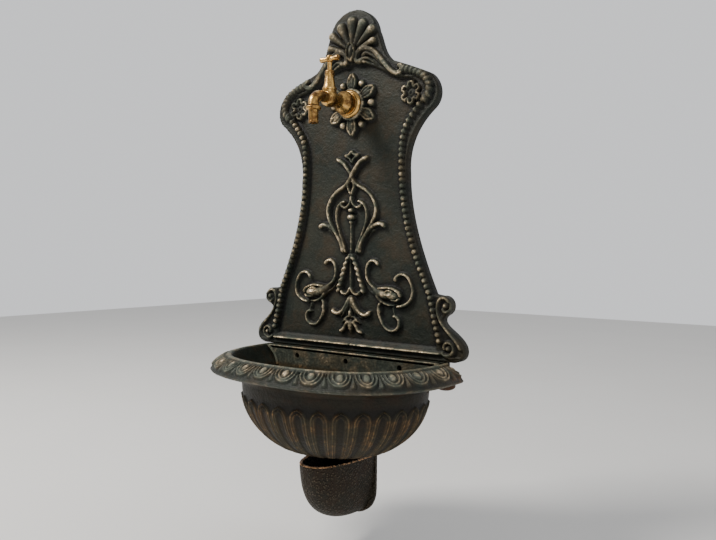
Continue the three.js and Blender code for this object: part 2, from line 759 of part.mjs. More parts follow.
// A turned piece round an axis that stands out of the wall at the tap's height
function turnedOut(profile, segments = 16) {
  const geometry = new THREE.LatheGeometry(
    profile.map(([radius, out]) => new THREE.Vector2(radius, out)),
    segments,
  );
  geometry.rotateX(Math.PI);
  geometry.translate(0, 0, INLET_Z);
  return solidOf(geometry);
}

// A turned piece round an upright axis a way out of the wall
function turnedUpright(profile, out, segments = 16) {
  const geometry = new THREE.LatheGeometry(
    profile.map(([radius, z]) => new THREE.Vector2(radius, z)),
    segments,
  );
  geometry.rotateX(Math.PI / 2);
  geometry.translate(0, -out, 0);
  return solidOf(geometry);
}

const bossFace = BOSS_LEVEL;
const collarBack = bossFace + SEAT_GAP + ESCUTCHEON_THICKNESS + SEAT_GAP;

function escutcheon() {
  const back = bossFace + SEAT_GAP;
  const hole = TAIL_RADIUS + RUNNING_GAP + 0.2;
  return turnedOut([
    [hole, back],
    [ESCUTCHEON_RADIUS, back],
    [ESCUTCHEON_RADIUS, back + 2.5],
    [ESCUTCHEON_RADIUS - 3, back + 5],
    [ESCUTCHEON_RADIUS - 5, back + 5.2],
    [COLLAR_RADIUS + 0.5, back + ESCUTCHEON_THICKNESS],
    [hole, back + ESCUTCHEON_THICKNESS],
    [hole, back],
  ]);
}

function tapBody() {
  const barrel = turnedOut([
    [0, 0.5],
    [TAIL_RADIUS, 0.5],
    [TAIL_RADIUS, collarBack],
    [COLLAR_RADIUS - 2, collarBack],
    [COLLAR_RADIUS, collarBack + 3],
    [COLLAR_RADIUS, collarBack + 10],
    [COLLAR_RADIUS - 3, collarBack + 14],
    [BARREL_RADIUS - 1, collarBack + 20],
    [BARREL_RADIUS + 1, SPINDLE_OUT],
    [BARREL_RADIUS, SPINDLE_OUT + 9],
    [0, SPINDLE_OUT + 9],
  ]);
  const bend = SPOUT_OUT - SPINDLE_OUT - 10;
  const elbow = bentSpout([
    [SPINDLE_OUT, INLET_Z],
    [SPINDLE_OUT + 10, INLET_Z],
    [SPOUT_OUT - bend * 0.3, INLET_Z - bend * 0.08],
    [SPOUT_OUT, NOZZLE_TOP + 4],
    [SPOUT_OUT, NOZZLE_TOP],
  ]);
  const neck = turnedUpright(
    [
      [0, INLET_Z],
      [BONNET_FOOT_RADIUS - 1, INLET_Z],
      [BONNET_FOOT_RADIUS, BONNET_FOOT_Z],
      [0, BONNET_FOOT_Z],
    ],
    SPINDLE_OUT,
  );
  const waterway = turnedOut(
    [
      [0, -1],
      [7, -1],
      [7, collarBack],
      [0, collarBack],
    ],
    12,
  );
  const bore = upright(0, SPOUT_OUT, NOZZLE_BORE_RADIUS, NOZZLE_TOP - 5, NOZZLE_TOP + 6, 12);
  return barrel.add(elbow).add(neck).subtract(waterway).subtract(bore);
}

// The spout: a round tube bent in the plane of the tap's axis
function bentSpout(points) {
  const path = new THREE.CatmullRomCurve3(
    points.map(([out, z]) => new THREE.Vector3(0, -out, z)),
    false,
    "centripetal",
  );
  const section = new THREE.Shape();
  section.absarc(0, 0, SPOUT_RADIUS, 0, 2 * Math.PI, false);
  return solidOf(
    new THREE.ExtrudeGeometry(section, { steps: 6, extrudePath: path, curveSegments: 6 }),
  );
}

function nozzle() {
  const top = NOZZLE_TOP - SEAT_GAP;
  return turnedUpright(
    [
      [NOZZLE_BORE_RADIUS, NOZZLE_BOTTOM],
      [NOZZLE_RADIUS, NOZZLE_BOTTOM],
      [NOZZLE_RADIUS, top - NOZZLE_COLLAR_HEIGHT],
      [NOZZLE_COLLAR_RADIUS - 1.5, top - NOZZLE_COLLAR_HEIGHT],
      [NOZZLE_COLLAR_RADIUS, top - NOZZLE_COLLAR_HEIGHT + 1.5],
      [NOZZLE_COLLAR_RADIUS, top - 1.5],
      [SPOUT_RADIUS + 0.5, top],
      [NOZZLE_BORE_RADIUS, top],
      [NOZZLE_BORE_RADIUS, NOZZLE_BOTTOM],
    ],
    SPOUT_OUT,
    12,
  );
}

function bonnet() {
  const foot = BONNET_FOOT_Z + SEAT_GAP;
  const bore = SPINDLE_RADIUS + RUNNING_GAP;
  const floor = BONNET_TOP_Z - SPINDLE_DEPTH - RUNNING_GAP;
  return turnedUpright(
    [
      [0, foot],
      [BONNET_FOOT_RADIUS, foot],
      [BONNET_FOOT_RADIUS, foot + 3],
      [BONNET_FOOT_RADIUS - 1.6, foot + 5],
      [BONNET_TOP_RADIUS, BONNET_TOP_Z - 8],
      [BONNET_TOP_RADIUS + 0.8, BONNET_TOP_Z - 6],
      [BONNET_TOP_RADIUS, BONNET_TOP_Z],
      [bore, BONNET_TOP_Z],
      [bore, floor],
      [0, floor],
    ],
    SPINDLE_OUT,
    12,
  );
}

function spindle() {
  return upright(0, SPINDLE_OUT, SPINDLE_RADIUS, BONNET_TOP_Z - SPINDLE_DEPTH, SPINDLE_TOP_Z, 12);
}

// The T-handle: a hub on the spindle's top and a bar parallel to the wall, thicker at its ends
function handle() {
  const barZ = SPINDLE_TOP_Z + SEAT_GAP + HANDLE_RADIUS;
  const hub = turnedUpright(
    [
      [0, SPINDLE_TOP_Z + SEAT_GAP],
      [HANDLE_RADIUS + 0.8, SPINDLE_TOP_Z + SEAT_GAP],
      [HANDLE_RADIUS + 0.8, barZ + HANDLE_RADIUS],
      [HANDLE_RADIUS - 1, barZ + HANDLE_RADIUS + 1.2],
      [0, barZ + HANDLE_RADIUS + 1.2],
    ],
    SPINDLE_OUT,
    12,
  );
  const geometry = new THREE.LatheGeometry(
    [
      [0, -HANDLE_HALF_LENGTH],
      [HANDLE_RADIUS - 0.6, -HANDLE_HALF_LENGTH + 1],
      [HANDLE_RADIUS, -HANDLE_HALF_LENGTH + 4],
      [HANDLE_RADIUS - 1.1, -6],
      [HANDLE_RADIUS - 1.1, 6],
      [HANDLE_RADIUS, HANDLE_HALF_LENGTH - 4],
      [HANDLE_RADIUS - 0.6, HANDLE_HALF_LENGTH - 1],
      [0, HANDLE_HALF_LENGTH],
    ].map(([radius, along]) => new THREE.Vector2(radius, along)),
    12,
  );
  geometry.rotateZ(-Math.PI / 2);
  geometry.translate(0, -SPINDLE_OUT, barZ);
  return hub.add(solidOf(geometry));
}

const group = new THREE.Group();
group.add(meshOf("backplate", backplate(), bronze()));
group.add(meshOf("basin", basin(), bronze()));
group.add(meshOf("lower_cup", lowerCup(), bronze()));
group.add(meshOf("tap_escutcheon", escutcheon(), brass()));
group.add(meshOf("tap_body", tapBody(), brass()));
group.add(meshOf("tap_nozzle", nozzle(), brass()));
group.add(meshOf("tap_bonnet", bonnet(), brass()));
group.add(meshOf("tap_spindle", spindle(), brass()));
group.add(meshOf("tap_handle", handle(), brass()));

export default group;
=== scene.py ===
import math

import bmesh
import bpy
import numpy as np
from mathutils import Matrix, Vector


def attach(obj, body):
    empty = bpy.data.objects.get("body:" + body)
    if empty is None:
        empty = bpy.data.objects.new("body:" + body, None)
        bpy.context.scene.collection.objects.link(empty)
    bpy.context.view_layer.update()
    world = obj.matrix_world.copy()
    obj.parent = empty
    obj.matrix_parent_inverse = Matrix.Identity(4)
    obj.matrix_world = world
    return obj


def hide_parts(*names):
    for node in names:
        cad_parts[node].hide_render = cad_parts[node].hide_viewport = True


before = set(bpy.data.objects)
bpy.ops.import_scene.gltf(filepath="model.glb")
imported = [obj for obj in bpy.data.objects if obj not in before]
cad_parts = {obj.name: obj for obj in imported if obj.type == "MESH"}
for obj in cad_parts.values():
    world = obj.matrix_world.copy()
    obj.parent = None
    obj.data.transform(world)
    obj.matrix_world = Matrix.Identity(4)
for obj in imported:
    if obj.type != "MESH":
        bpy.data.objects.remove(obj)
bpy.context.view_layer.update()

# The back plate: one iron casting, waisted, with a sunk field inside a beaded border.
# All its ornament is cast on and stands 4 to 8 mm proud; the high places are rubbed to a pale gilt.
# The back is a shallow pan, and two screws through the star flowers hold it to the wall.
MM = 0.001
PLATE_TOP = 254.0
PLATE_FOOT = -267.0
FOOT_HALF = 197.5
LEDGE = 12.0
FIELD = 8.5
FIELD_SLOPE = 3.5
FIELD_FOOT = PLATE_FOOT + 17
PAN = 4.0
PAN_RIM = 8.0
RIB = 9.0
EDGE_ROUND = 2.2
GRID_STEP = 1.25
INLET_Z = 110.5
INLET_HOLE = 12.0
FLORET = (105.7, 116.0)
SCREW_HOLE = 2.2
BEAD_LINE = [
    (127, 103), (110, 85), (97, 65), (92, 40), (91.8, 5), (96, -40),
    (106.5, -88), (123.5, -134), (140.5, -173), (149.5, -209), (159.5, -246),
]


def arc(x, z, radius, start, end, count):
    """Points on a circle, the angles in radians."""
    angles = np.linspace(start, end, count)
    return [(x + radius * math.cos(a), z + radius * math.sin(a)) for a in angles]


def bezier(corners, count=14):
    """Points on a curve drawn by three or four control points."""
    points = []
    for t in np.linspace(0, 1, count):
        row = [np.array(c, float) for c in corners]
        while len(row) > 1:
            row = [a * (1 - t) + b * t for a, b in zip(row, row[1:])]
        points.append(tuple(row[0]))
    return points


def smooth_line(points, step=0.7):
    """A smooth line through a few points, in steps of about a length."""
    p = np.array(points, float)
    p = np.vstack([2 * p[0] - p[1], p, 2 * p[-1] - p[-2]])
    rows = []
    for a, b, c, d in zip(p, p[1:], p[2:], p[3:]):
        count = max(2, int(np.linalg.norm(c - b) / step))
        t = np.linspace(0, 1, count, endpoint=False)[:, None]
        rows.append(
            0.5 * (2 * b + (c - a) * t + (2 * a - 5 * b + 4 * c - d) * t**2 + (3 * b - a - 3 * c + d) * t**3)
        )
    rows.append(p[-2][None, :])
    return np.vstack(rows)


def to_line(x, z, line):
    """For each place: how far it is from a line of points, and the nearest spot on it."""
    best = np.full(x.shape, 1e9)
    near_x, near_z = np.zeros_like(x), np.zeros_like(x)
    for (ax, az), (bx, bz) in zip(line, line[1:]):
        span = max((bx - ax) ** 2 + (bz - az) ** 2, 1e-9)
        t = np.clip(((x - ax) * (bx - ax) + (z - az) * (bz - az)) / span, 0, 1)
        px, pz = ax + t * (bx - ax), az + t * (bz - az)
        gap = np.hypot(x - px, z - pz)
        closer = gap < best
        best[closer], near_x[closer], near_z[closer] = gap[closer], px[closer], pz[closer]
    return best, near_x, near_z


def inside_of(x, z, half_line):
    """Whether places lie inside an outline given by its right half from top to foot."""
    crossings = np.zeros(x.shape, int)
    for (ax, az), (bx, bz) in zip(half_line, half_line[1:]):
        if az == bz:
            continue
        between = (z >= min(az, bz)) & (z < max(az, bz))
        crossings += between & (ax + (z - az) / (bz - az) * (bx - ax) > np.abs(x))
    return crossings % 2 == 1


plate_edge = (
    arc(0, 208.5, 45.5, math.pi / 2, 0.17, 24)
    + bezier([(44.8, 216.2), (52.5, 203), (52, 183), (70, 169)])[1:]
    + bezier([(70, 169), (98, 158), (134, 142)])[1:]
    + bezier([(134, 142), (149, 134), (160, 107), (141, 91.5)], 24)[1:]
    + bezier([(141, 91.5), (110, 67), (97, 36), (100.4, 0)], 26)[1:]
    + bezier([(100.4, 0), (100.4, -58), (123, -118), (148, -172.5)], 30)[1:]
    + [(158, -174)]
    + arc(162, -188.3, 14.3, 1.8, -1.15, 18)
    + bezier([(167.8, -201.3), (160, -206.5), (161, -212.5), (172, -220.5)])[1:]
    + bezier([(172, -220.5), (188, -232), (FOOT_HALF, -240), (FOOT_HALF, -251)])[1:]
    + bezier([(FOOT_HALF, -251), (FOOT_HALF, -265), (178, PLATE_FOOT)])[1:]
    + [(0, PLATE_FOOT)]
)
bead_curve = smooth_line(BEAD_LINE, 6)
field_edge = (
    bezier([(0, 172), (30, 172), (55, 158), (82, 141)])
    + bezier([(82, 141), (118, 138), (123, 118)])[1:]
    + [(px - 5.5, pz) for px, pz in bead_curve[2:-1]]
    + [(151, FIELD_FOOT), (0, FIELD_FOOT)]
)

columns = 2 * int((FOOT_HALF + 1) / GRID_STEP)
rows = int((PLATE_TOP - PLATE_FOOT + 1) / GRID_STEP)
plate_bm = bmesh.new()
bmesh.ops.create_grid(plate_bm, x_segments=columns, y_segments=rows, size=0.5)
places = np.array([v.co[:2] for v in plate_bm.verts])
x = places[:, 0] * columns * GRID_STEP
z = places[:, 1] * rows * GRID_STEP + (PLATE_TOP + PLATE_FOOT) / 2
ax = np.abs(x)

edge_gap, edge_x, edge_z = to_line(ax, z, plate_edge)
edge_in = np.where(inside_of(x, z, plate_edge), edge_gap, -edge_gap)
field_gap = to_line(ax, z, field_edge)[0]
field_in = np.where(inside_of(x, z, field_edge), field_gap, -field_gap)
slope = np.clip(field_in / FIELD_SLOPE + 0.5, 0, 1)
ground = LEDGE - (LEDGE - FIELD) * slope * slope * (3 - 2 * slope)
lift = ground.copy()


def raise_to(where, height):
    """Lays a raised form on what is there already, without digging into it."""
    lift[where] = np.maximum(lift[where], ground[where] + height)


# Every strand and dome stands this many times the height that it is given.
relief = 1.0
GROOVE_SHARE = 0.38
TWIST_DEPTH = 0.18
TWIST_SLANT = 0.42


def strand(points, width, rise, swell="even", mirror=True, twist=0.0, groove=0.0, lean=0.0, full=0.62):
    """A carved strand along a line: half its width, its height, and how it swells along its run.

    A twist gives the rope's pitch, a groove the depth of a channel down its middle, a lean tips its
    crest to one side, and a fuller section has a smaller power.
    """
    line = smooth_line(points)
    across = ax if mirror else x
    low, high = line.min(axis=0) - width - 1, line.max(axis=0) + width + 1
    where = np.where((across > low[0]) & (across < high[0]) & (z > low[1]) & (z < high[1]))[0]
    if not len(where):
        return
    steps = np.linalg.norm(np.diff(line, axis=0), axis=1)
    run = np.concatenate([[0], np.cumsum(steps)])
    t = run / run[-1]
    end = np.minimum(run, run[-1] - run)
    tip = np.sqrt(np.clip(end / width, 0.05, 1))
    share = {
        "even": tip,
        "taper": np.clip(1.15 - 0.85 * t, 0, 1) * tip,
        "grow": np.clip(0.3 + 0.8 * t, 0, 1) * tip,
        "leaf": np.clip(np.sin(np.pi * t**0.8), 0.08, 1),
        "lobe": 0.36 + 0.64 * t**0.9,
        "hook": (0.8 + 0.2 * np.abs(2 * t - 1)) * np.sqrt(np.clip(end / width, 0.1, 1)),
    }[swell]
    px, pz = across[where], z[where]
    gap = np.full(len(where), 1e9)
    nearest = np.zeros(len(where), int)
    for k, (lx, lz) in enumerate(line):
        d = (px - lx) ** 2 + (pz - lz) ** 2
        closer = d < gap
        gap[closer], nearest[closer] = d[closer], k
    tangent = np.gradient(line, axis=0)
    tangent /= np.maximum(np.linalg.norm(tangent, axis=1), 1e-6)[:, None]
    side = (px - line[nearest, 0]) * tangent[nearest, 1] - (pz - line[nearest, 1]) * tangent[nearest, 0]
    here = width * share[nearest]
    q = np.sqrt(gap) / np.maximum(here, 0.3)
    signed = np.clip(side / np.maximum(here, 0.3), -1, 1)
    body = np.clip(1 - (q - lean * signed * 0.3) ** 2, 0, 1) ** full
    if groove:
        body *= 1 - groove * np.exp(-((q / GROOVE_SHARE) ** 2))
    if twist:
        turns = run[nearest] / twist + TWIST_SLANT * signed
        body *= 1 - TWIST_DEPTH * (1 - np.cos(2 * np.pi * turns))
    keep = q < 1
    raise_to(where[keep], (relief * rise * (0.25 + 0.75 * share[nearest]) * body)[keep])


def dome(cx, cz, rx, rz, rise, turn=0.0, mirror=True, power=0.6):
    """A rounded boss, turned in the plane of the plate by an angle in degrees."""
    across = ax if mirror else x
    dx, dz = across - cx, z - cz
    c, s = math.cos(math.radians(turn)), math.sin(math.radians(turn))
    u, v = (dx * c + dz * s) / rx, (dz * c - dx * s) / rz
    q = u * u + v * v
    where = q < 1
    raise_to(where, relief * rise * (1 - q[where]) ** power)


# Border: a fine fillet at the edge, beads, gadroons round the ears and a strap round each foot.
FILLET_IN = 2.6
FILLET_TOP = 150.0
BEAD_PITCH = 44
lift += np.exp(-(((edge_in - FILLET_IN) / 0.9) ** 2)) * (z < FILLET_TOP)
bead_path = smooth_line(BEAD_LINE, 0.2)
for (bx, bz), (nx, nz) in zip(bead_path[::BEAD_PITCH], bead_path[3::BEAD_PITCH]):
    dome(bx, bz, 4.5, 5.0, 6.6, math.degrees(math.atan2(nz - bz, nx - bx)), power=0.5)
gadroon_line = [(94, 152), (104, 149.5), (117, 144.5), (129, 136), (136.5, 124), (136, 112), (129, 104)]
gadroon_path = smooth_line(gadroon_line, 0.2)
gadroons = gadroon_path[:: len(gadroon_path) // 10]
for k, (gx, gz) in enumerate(gadroons):
    before, after = gadroons[max(0, k - 1)], gadroons[min(len(gadroons) - 1, k + 1)]
    turn = math.degrees(math.atan2(after[1] - before[1], after[0] - before[0])) + 62
    dome(gx, gz, 7.6, 5.2, 6.8, turn, power=0.5)
strand([
    (173, -185), (168, -178.5), (160, -177.5), (155, -184), (154, -196), (160, -211), (172, -225),
    (184, -237), (192, -249),
], 2.7, 5.0)
strand([(167, -179), (175, -184), (174, -193), (166, -197), (161, -191)], 2.2, 4.6)
dome(167, -188, 4.6, 4.6, 6.0)
strand([
    (167, -251), (165.5, -244), (171.5, -239), (179, -242.5), (180, -250), (175, -256), (166, -257),
    (161, -252),
], 2.6, 5.4)
dome(172.5, -247.5, 4.4, 4.4, 6.2)
strand([(165, -257.5), (174, -260.5), (190, -259)], 2.4, 4.0, "taper")
strand([(160, -256), (80, -256), (0, -256)], 2.6, 5.6)
strand([(151, -249), (80, -249), (0, -249)], 1.3, 1.6)

# Crest: a fan of lobes with a bud at its foot, between two wings that curl out of the border.
FAN_Z = 190.0
FAN_RISE = 8.4
for degrees, half_width, tip in ((0, 9.4, 54.5), (27, 8.8, 52.5), (52, 7.4, 54.0), (75, 5.8, 47.5)):
    for side in (-1, 1):
        out, reach = math.radians(90 - side * degrees), tip - half_width
        ray = [(reach * r * math.cos(out), FAN_Z + reach * r * math.sin(out)) for r in (0.3, 0.55, 0.8, 1.0)]
        strand(ray, half_width, FAN_RISE, "lobe", mirror=False, full=0.5)
dome(0, 190.5, 6.6, 14.5, 8.8, mirror=False, power=0.8)
for side in (-1, 1):
    bud_edge = [(0, 175.5), (side * 5.5, 182.5), (side * 7.4, 190), (side * 5.2, 198), (0, 205)]
    strand(bud_edge, 1.9, 9.8, mirror=False)
strand([
    (19, 180), (18, 175), (13, 173.5), (9, 177), (10, 184.5), (17, 190.5), (28, 191.5), (40, 186),
    (51, 175.5), (61, 164), (71, 153.5), (80, 147.5), (88, 147.5), (92, 152), (89, 156.5), (83, 155.5),
], 4.2, 8.0, groove=0.3)
strand([(20, 178.5), (25, 184), (33, 182.5), (44, 174.5), (57, 161)], 3.2, 6.4, "taper")
strand([(20, 175.5), (28, 177), (38, 171.5), (49, 163)], 3.0, 5.8, "taper")
strand([(20, 172), (28, 171), (39, 164.5)], 2.6, 4.8, "taper")
strand([(0, 172.5), (22, 171), (42, 163.5), (60, 153.5), (73, 145), (88, 142.5), (110, 139)], 1.6, 2.0)

# Rosette: six pointed veined leaves with a berry between each two, round the tap's boss.
LEAF_TIP = 48.5
BERRY_OUT = 35.0
BERRY = 6.2
boss = np.hypot(x, z - INLET_Z)
raise_to(boss < 24, 9.6)
for k in range(6):
    out = math.radians(90 + 60 * k)
    between = math.radians(120 + 60 * k)
    leaf_line = [(r * math.cos(out), INLET_Z + r * math.sin(out)) for r in (19, 34, LEAF_TIP)]
    strand(leaf_line, 8.8, 7.0, "leaf", mirror=False, full=0.45)
    for offset in (-0.19, 0.19):
        leaf_edge = [
            (r * math.cos(out + offset * f), INLET_Z + r * math.sin(out + offset * f))
            for r, f in ((23, 0.95), (30, 1.2), (38, 0.95), (47.5, 0.04))
        ]
        strand(leaf_edge, 2.1, 8.0, mirror=False)
    for offset in (-0.065, 0.065):
        vein = [(r * math.cos(out + offset), INLET_Z + r * math.sin(out + offset)) for r in (24, 32, 42)]
        strand(vein, 1.5, 8.2, mirror=False)
    berry_x, berry_z = BERRY_OUT * math.cos(between), INLET_Z + BERRY_OUT * math.sin(between)
    dome(berry_x, berry_z, BERRY, BERRY, 8.2, mirror=False)

# Star flowers round the screw holes: six fat lobes, each a raised loop round a hollow.
for k in range(6):
    out = math.radians(30 + 60 * k)
    half_loop = [(7.0, 0.3), (11.0, 0.36), (14.6, 0.24)]
    loop = half_loop + [(15.6, 0.0)] + [(r, -w) for r, w in reversed(half_loop)]
    lobe = [(FLORET[0] + r * math.cos(out + w), FLORET[1] + r * math.sin(out + w)) for r, w in loop]
    strand(lobe, 2.5, 7.4)
ring = np.hypot(ax - FLORET[0], z - FLORET[1])
raise_to(ring < 14, 2.2)
raise_to(ring < 4.8, 3.6)

# Arabesque: crossed straps that open into a lyre, leaves, a rope tent, beasts' heads, loops and husks.
relief = 1.32
strap = [
    (29.5, 28.5), (23, 27), (15, 22), (8, 14), (2, 6), (-3, -3), (-12, -12), (-26, -19.5), (-38, -30),
    (-45, -44), (-45, -56), (-40, -68), (-32, -80), (-24, -92), (-18, -103), (-14, -116),
]
for side, half_width, rise in ((1, 3.9, 6.6), (-1, 3.8, 5.8)):
    strand([(side * px, pz) for px, pz in strap], half_width, rise, "hook", mirror=False)
strand([(31, 29), (27, 29.5), (23, 27.5)], 3.6, 5.4, "taper")
strand([(0, 42), (2.5, 37), (7, 34.5), (14, 34)], 2.4, 5.6)
strand([(14, 34), (8, 31.5), (3, 28), (0, 21.5)], 2.2, 4.6)
for side in (-1, 1):
    strand([(0, -4), (side * 6, -12), (0, -27)], 2.3, 6.2, mirror=False)
strand([(0.5, -27), (1, -34), (4, -41), (11, -45.5), (18, -43), (19, -38.5)], 2.3, 5.4)
strand([
    (11, -36.5), (17, -37), (24, -42), (28.5, -52), (28, -66), (22, -84), (15, -99), (9.5, -116),
], 2.6, 5.4, "hook")
dome(0, -50, 6.5, 4.2, 7.0, mirror=False)
dome(0, -60.5, 8.6, 5.6, 7.6, mirror=False)
dome(0, -68, 4.6, 3.4, 5.6, mirror=False)
strand([(0, -66), (0, -90), (0, -116)], 2.0, 4.6, mirror=False)
strand([
    (64, -77), (57, -72.5), (48, -72.5), (39, -77), (30, -85.5), (23.5, -95), (19.5, -106), (18, -118),
], 4.2, 6.4, "taper", lean=0.5)
strand([(46, -79), (38, -84), (31, -93)], 2.4, 3.6, "taper")
strand([(0, -116), (7, -127), (12, -139), (17, -153), (22, -166), (24.5, -178)], 4.6, 7.2, twist=9.0)
strand([(0, -121), (0, -146), (0, -172)], 2.0, 5.0, mirror=False)
strand([(0, -167), (3.5, -174), (9, -178.5), (15, -177.5), (19, -172.5)], 3.0, 6.2, "hook")
strand([
    (52, -134), (46, -127.5), (38, -127), (31.5, -133), (29.5, -143), (31, -153), (36.5, -161),
    (45, -167), (56, -171),
], 3.0, 5.8, "hook")
strand([(27, -151), (29, -162), (36, -171), (47, -178), (58, -183)], 2.6, 4.6, "grow")
strand([(38, -165), (50, -172), (62, -176), (74, -178.5), (90, -182)], 8.6, 7.4, "leaf")
dome(77, -177, 13.5, 8.0, 8.2, -8)
strand([(52, -168), (64, -166.5), (77, -167), (89, -172.5), (92.5, -180)], 2.2, 8.4)
strand([(66, -173), (72, -170), (79, -172.5), (77, -177), (70, -177.5), (65, -174.5)], 1.6, 9.6)
strand([(91, -181), (85, -185), (76, -184.5), (66, -182)], 1.9, 8.2, "taper")
strand([(88, -189), (78, -192), (66, -190.5), (55, -184.5), (48, -176)], 3.6, 6.2, "grow")
strand([
    (80, -157), (84, -149.5), (92, -146), (101, -148.5), (108, -157), (111.5, -168), (110, -179),
    (104, -187), (95, -191.5), (84, -194),
], 2.7, 5.8, "hook")
strand([
    (57, -188), (53, -194), (52.5, -203), (56, -213), (62, -223), (70, -229), (79, -229.5), (87, -224),
    (89, -215), (84, -208.5), (77, -208.5),
], 2.8, 5.6, "hook")
dome(53.5, -200, 3.6, 6.0, 5.6, 10)
strand([(78, -194), (80, -202), (83, -209)], 2.0, 3.8)
strand([(0, -179), (0, -190), (0, -203)], 8.2, 7.8, "leaf", mirror=False, groove=0.35)
strand([(3, -185), (7, -193), (13, -201.5), (21, -208), (30, -209), (37, -203)], 4.0, 6.4, "hook")
strand([(5, -196), (11, -205), (18, -213), (25, -214)], 2.6, 5.0, "taper")
strand([(2, -190), (5, -199), (8, -207), (8, -214)], 3.0, 5.8, "taper")
strand([(0, -199), (0, -208), (0, -218)], 4.4, 6.2, "leaf", mirror=False)
strand([(0, -213), (6, -213.5), (13, -218.5)], 2.4, 4.6, "hook")
strand([(0, -216), (0, -226), (0, -240)], 5.4, 6.6, "leaf", mirror=False, groove=0.25)
strand([(2, -220), (6, -222), (11, -228), (15, -234), (22, -237)], 3.6, 5.8, "hook")
strand([(5, -219), (12, -219), (19, -224)], 2.6, 4.8, "taper")

# Where the raised places stand above what is round them, the patina is rubbed away; where places lie below
# what is round them, the finish darkens them, partly dark patina and partly painted shade.
HEAD = (73, -176)
HUSKS = (-242, -183)
FOOT_BAR_Z = -255.5
CREST_FOOT = 165
order = np.lexsort((x, z))
sheet = lift[order].reshape(rows + 1, columns + 1)


def blurred(values, radius):
    """A soft average of the sheet over a number of grid steps."""
    kernel = np.exp(-0.5 * (np.arange(-3 * radius, 3 * radius + 1) / radius) ** 2)
    kernel /= kernel.sum()
    for axis in (0, 1):
        margins = [(3 * radius, 3 * radius) if a == axis else (0, 0) for a in (0, 1)]
        padded = np.pad(values, margins, mode="edge")
        values = np.apply_along_axis(lambda line: np.convolve(line, kernel, "valid"), axis, padded)
    return values


softened = blurred(sheet, 1) * 0.35 + sheet * 0.65
standing = softened - blurred(sheet, 4)
rub_and_shading = np.zeros(len(x))
rub_and_shading[order] = standing.reshape(-1)
raised = lift - ground > 2
on_heads = np.exp(-(((ax - HEAD[0]) / 17) ** 2 + ((z - HEAD[1]) / 9.5) ** 2) ** 2)
on_husks = (ax < 40) * (z > HUSKS[0]) * (z < HUSKS[1])
on_rosette = (boss > 20) * (boss < LEAF_TIP + 1.5)
# Along the foot bar's top: a gilt line that also serves as a painted highlight.
foot_bar_gilt_highlight = (np.abs(z - FOOT_BAR_Z) < 1.4) * (ax < 162)
on_crest = z > CREST_FOOT
on_beads = (np.abs(field_in + 4) < 6.5) * (z < 140)
rub_and_shading += raised * (2.2 * on_heads + 0.8 * on_husks + 0.9 * on_rosette) + 1.6 * foot_bar_gilt_highlight
rub_and_shading = rub_and_shading * (1 - 0.3 * on_crest) + 0.8 * on_crest * raised
rub_and_shading *= 1 - 0.25 * on_beads
lift[order] = softened.reshape(-1)
corner = np.clip(edge_in, 0, EDGE_ROUND)
lift -= EDGE_ROUND - np.sqrt(np.maximum(0, EDGE_ROUND**2 - (EDGE_ROUND - corner) ** 2))

holes = [(0, INLET_Z, INLET_HOLE)] + [(s * FLORET[0], FLORET[1], SCREW_HOLE) for s in (1, -1)]
kept = edge_in.copy()
snap_x, snap_z = np.sign(x) * edge_x, edge_z
for hx, hz, hr in holes:
    gap = np.hypot(x - hx, z - hz)
    nearer = gap - hr < kept
    kept[nearer] = (gap - hr)[nearer]
    scale = hr / np.maximum(gap, 1e-6)
    snap_x[nearer] = (hx + (x - hx) * scale)[nearer]
    snap_z[nearer] = (hz + (z - hz) * scale)[nearer]

rub_shading_layer = plate_bm.verts.layers.float.new("rub_and_shading")
spot_layer = plate_bm.verts.layers.int.new("spot")
for i, v in enumerate(plate_bm.verts):
    v.co = (x[i], -lift[i], z[i])
    v[rub_shading_layer] = rub_and_shading[i]
    v[spot_layer] = i
outside = [f for f in plate_bm.faces if sum(kept[v[spot_layer]] for v in f.verts) < 0]
bmesh.ops.delete(plate_bm, geom=outside, context="FACES")
for v in [v for v in plate_bm.verts if v.is_boundary]:
    i = v[spot_layer]
    v.co.x, v.co.z = snap_x[i], snap_z[i]
plate_bm.verts.layers.int.remove(spot_layer)
rub_shading_layer = plate_bm.verts.layers.float["rub_and_shading"]
bmesh.ops.recalc_face_normals(plate_bm, faces=plate_bm.faces)
if sum(f.normal.y for f in plate_bm.faces) > 0:
    bmesh.ops.reverse_faces(plate_bm, faces=plate_bm.faces)


def carry(bm, edges, y):
    """Draws an open edge on to a depth behind the face; returns its new edge."""
    grown = bmesh.ops.extrude_edge_only(bm, edges=edges)["geom"]
    # The new edge is painted darker: painted shade on the sides towards the wall and in the holes.
    for v in [g for g in grown if isinstance(g, bmesh.types.BMVert)]:
        v[rub_shading_layer] = -1.0
        v.co.y = -y
    return [g for g in grown if isinstance(g, bmesh.types.BMEdge)]


def drawn_in(line, inward):
    """The right half of an outline, from top to foot, moved inwards by a distance."""
    line = np.array(line, float)
    ahead = np.gradient(line, axis=0)
    ahead /= np.linalg.norm(ahead, axis=1)[:, None]
    moved = line + inward * np.stack([ahead[:, 1], -ahead[:, 0]], axis=1)
    gap = to_line(np.abs(moved[:, 0]), moved[:, 1], line)[0]
    return [tuple(p) for p, g in zip(moved, gap) if g > inward - 0.3 and p[0] > 0.5]


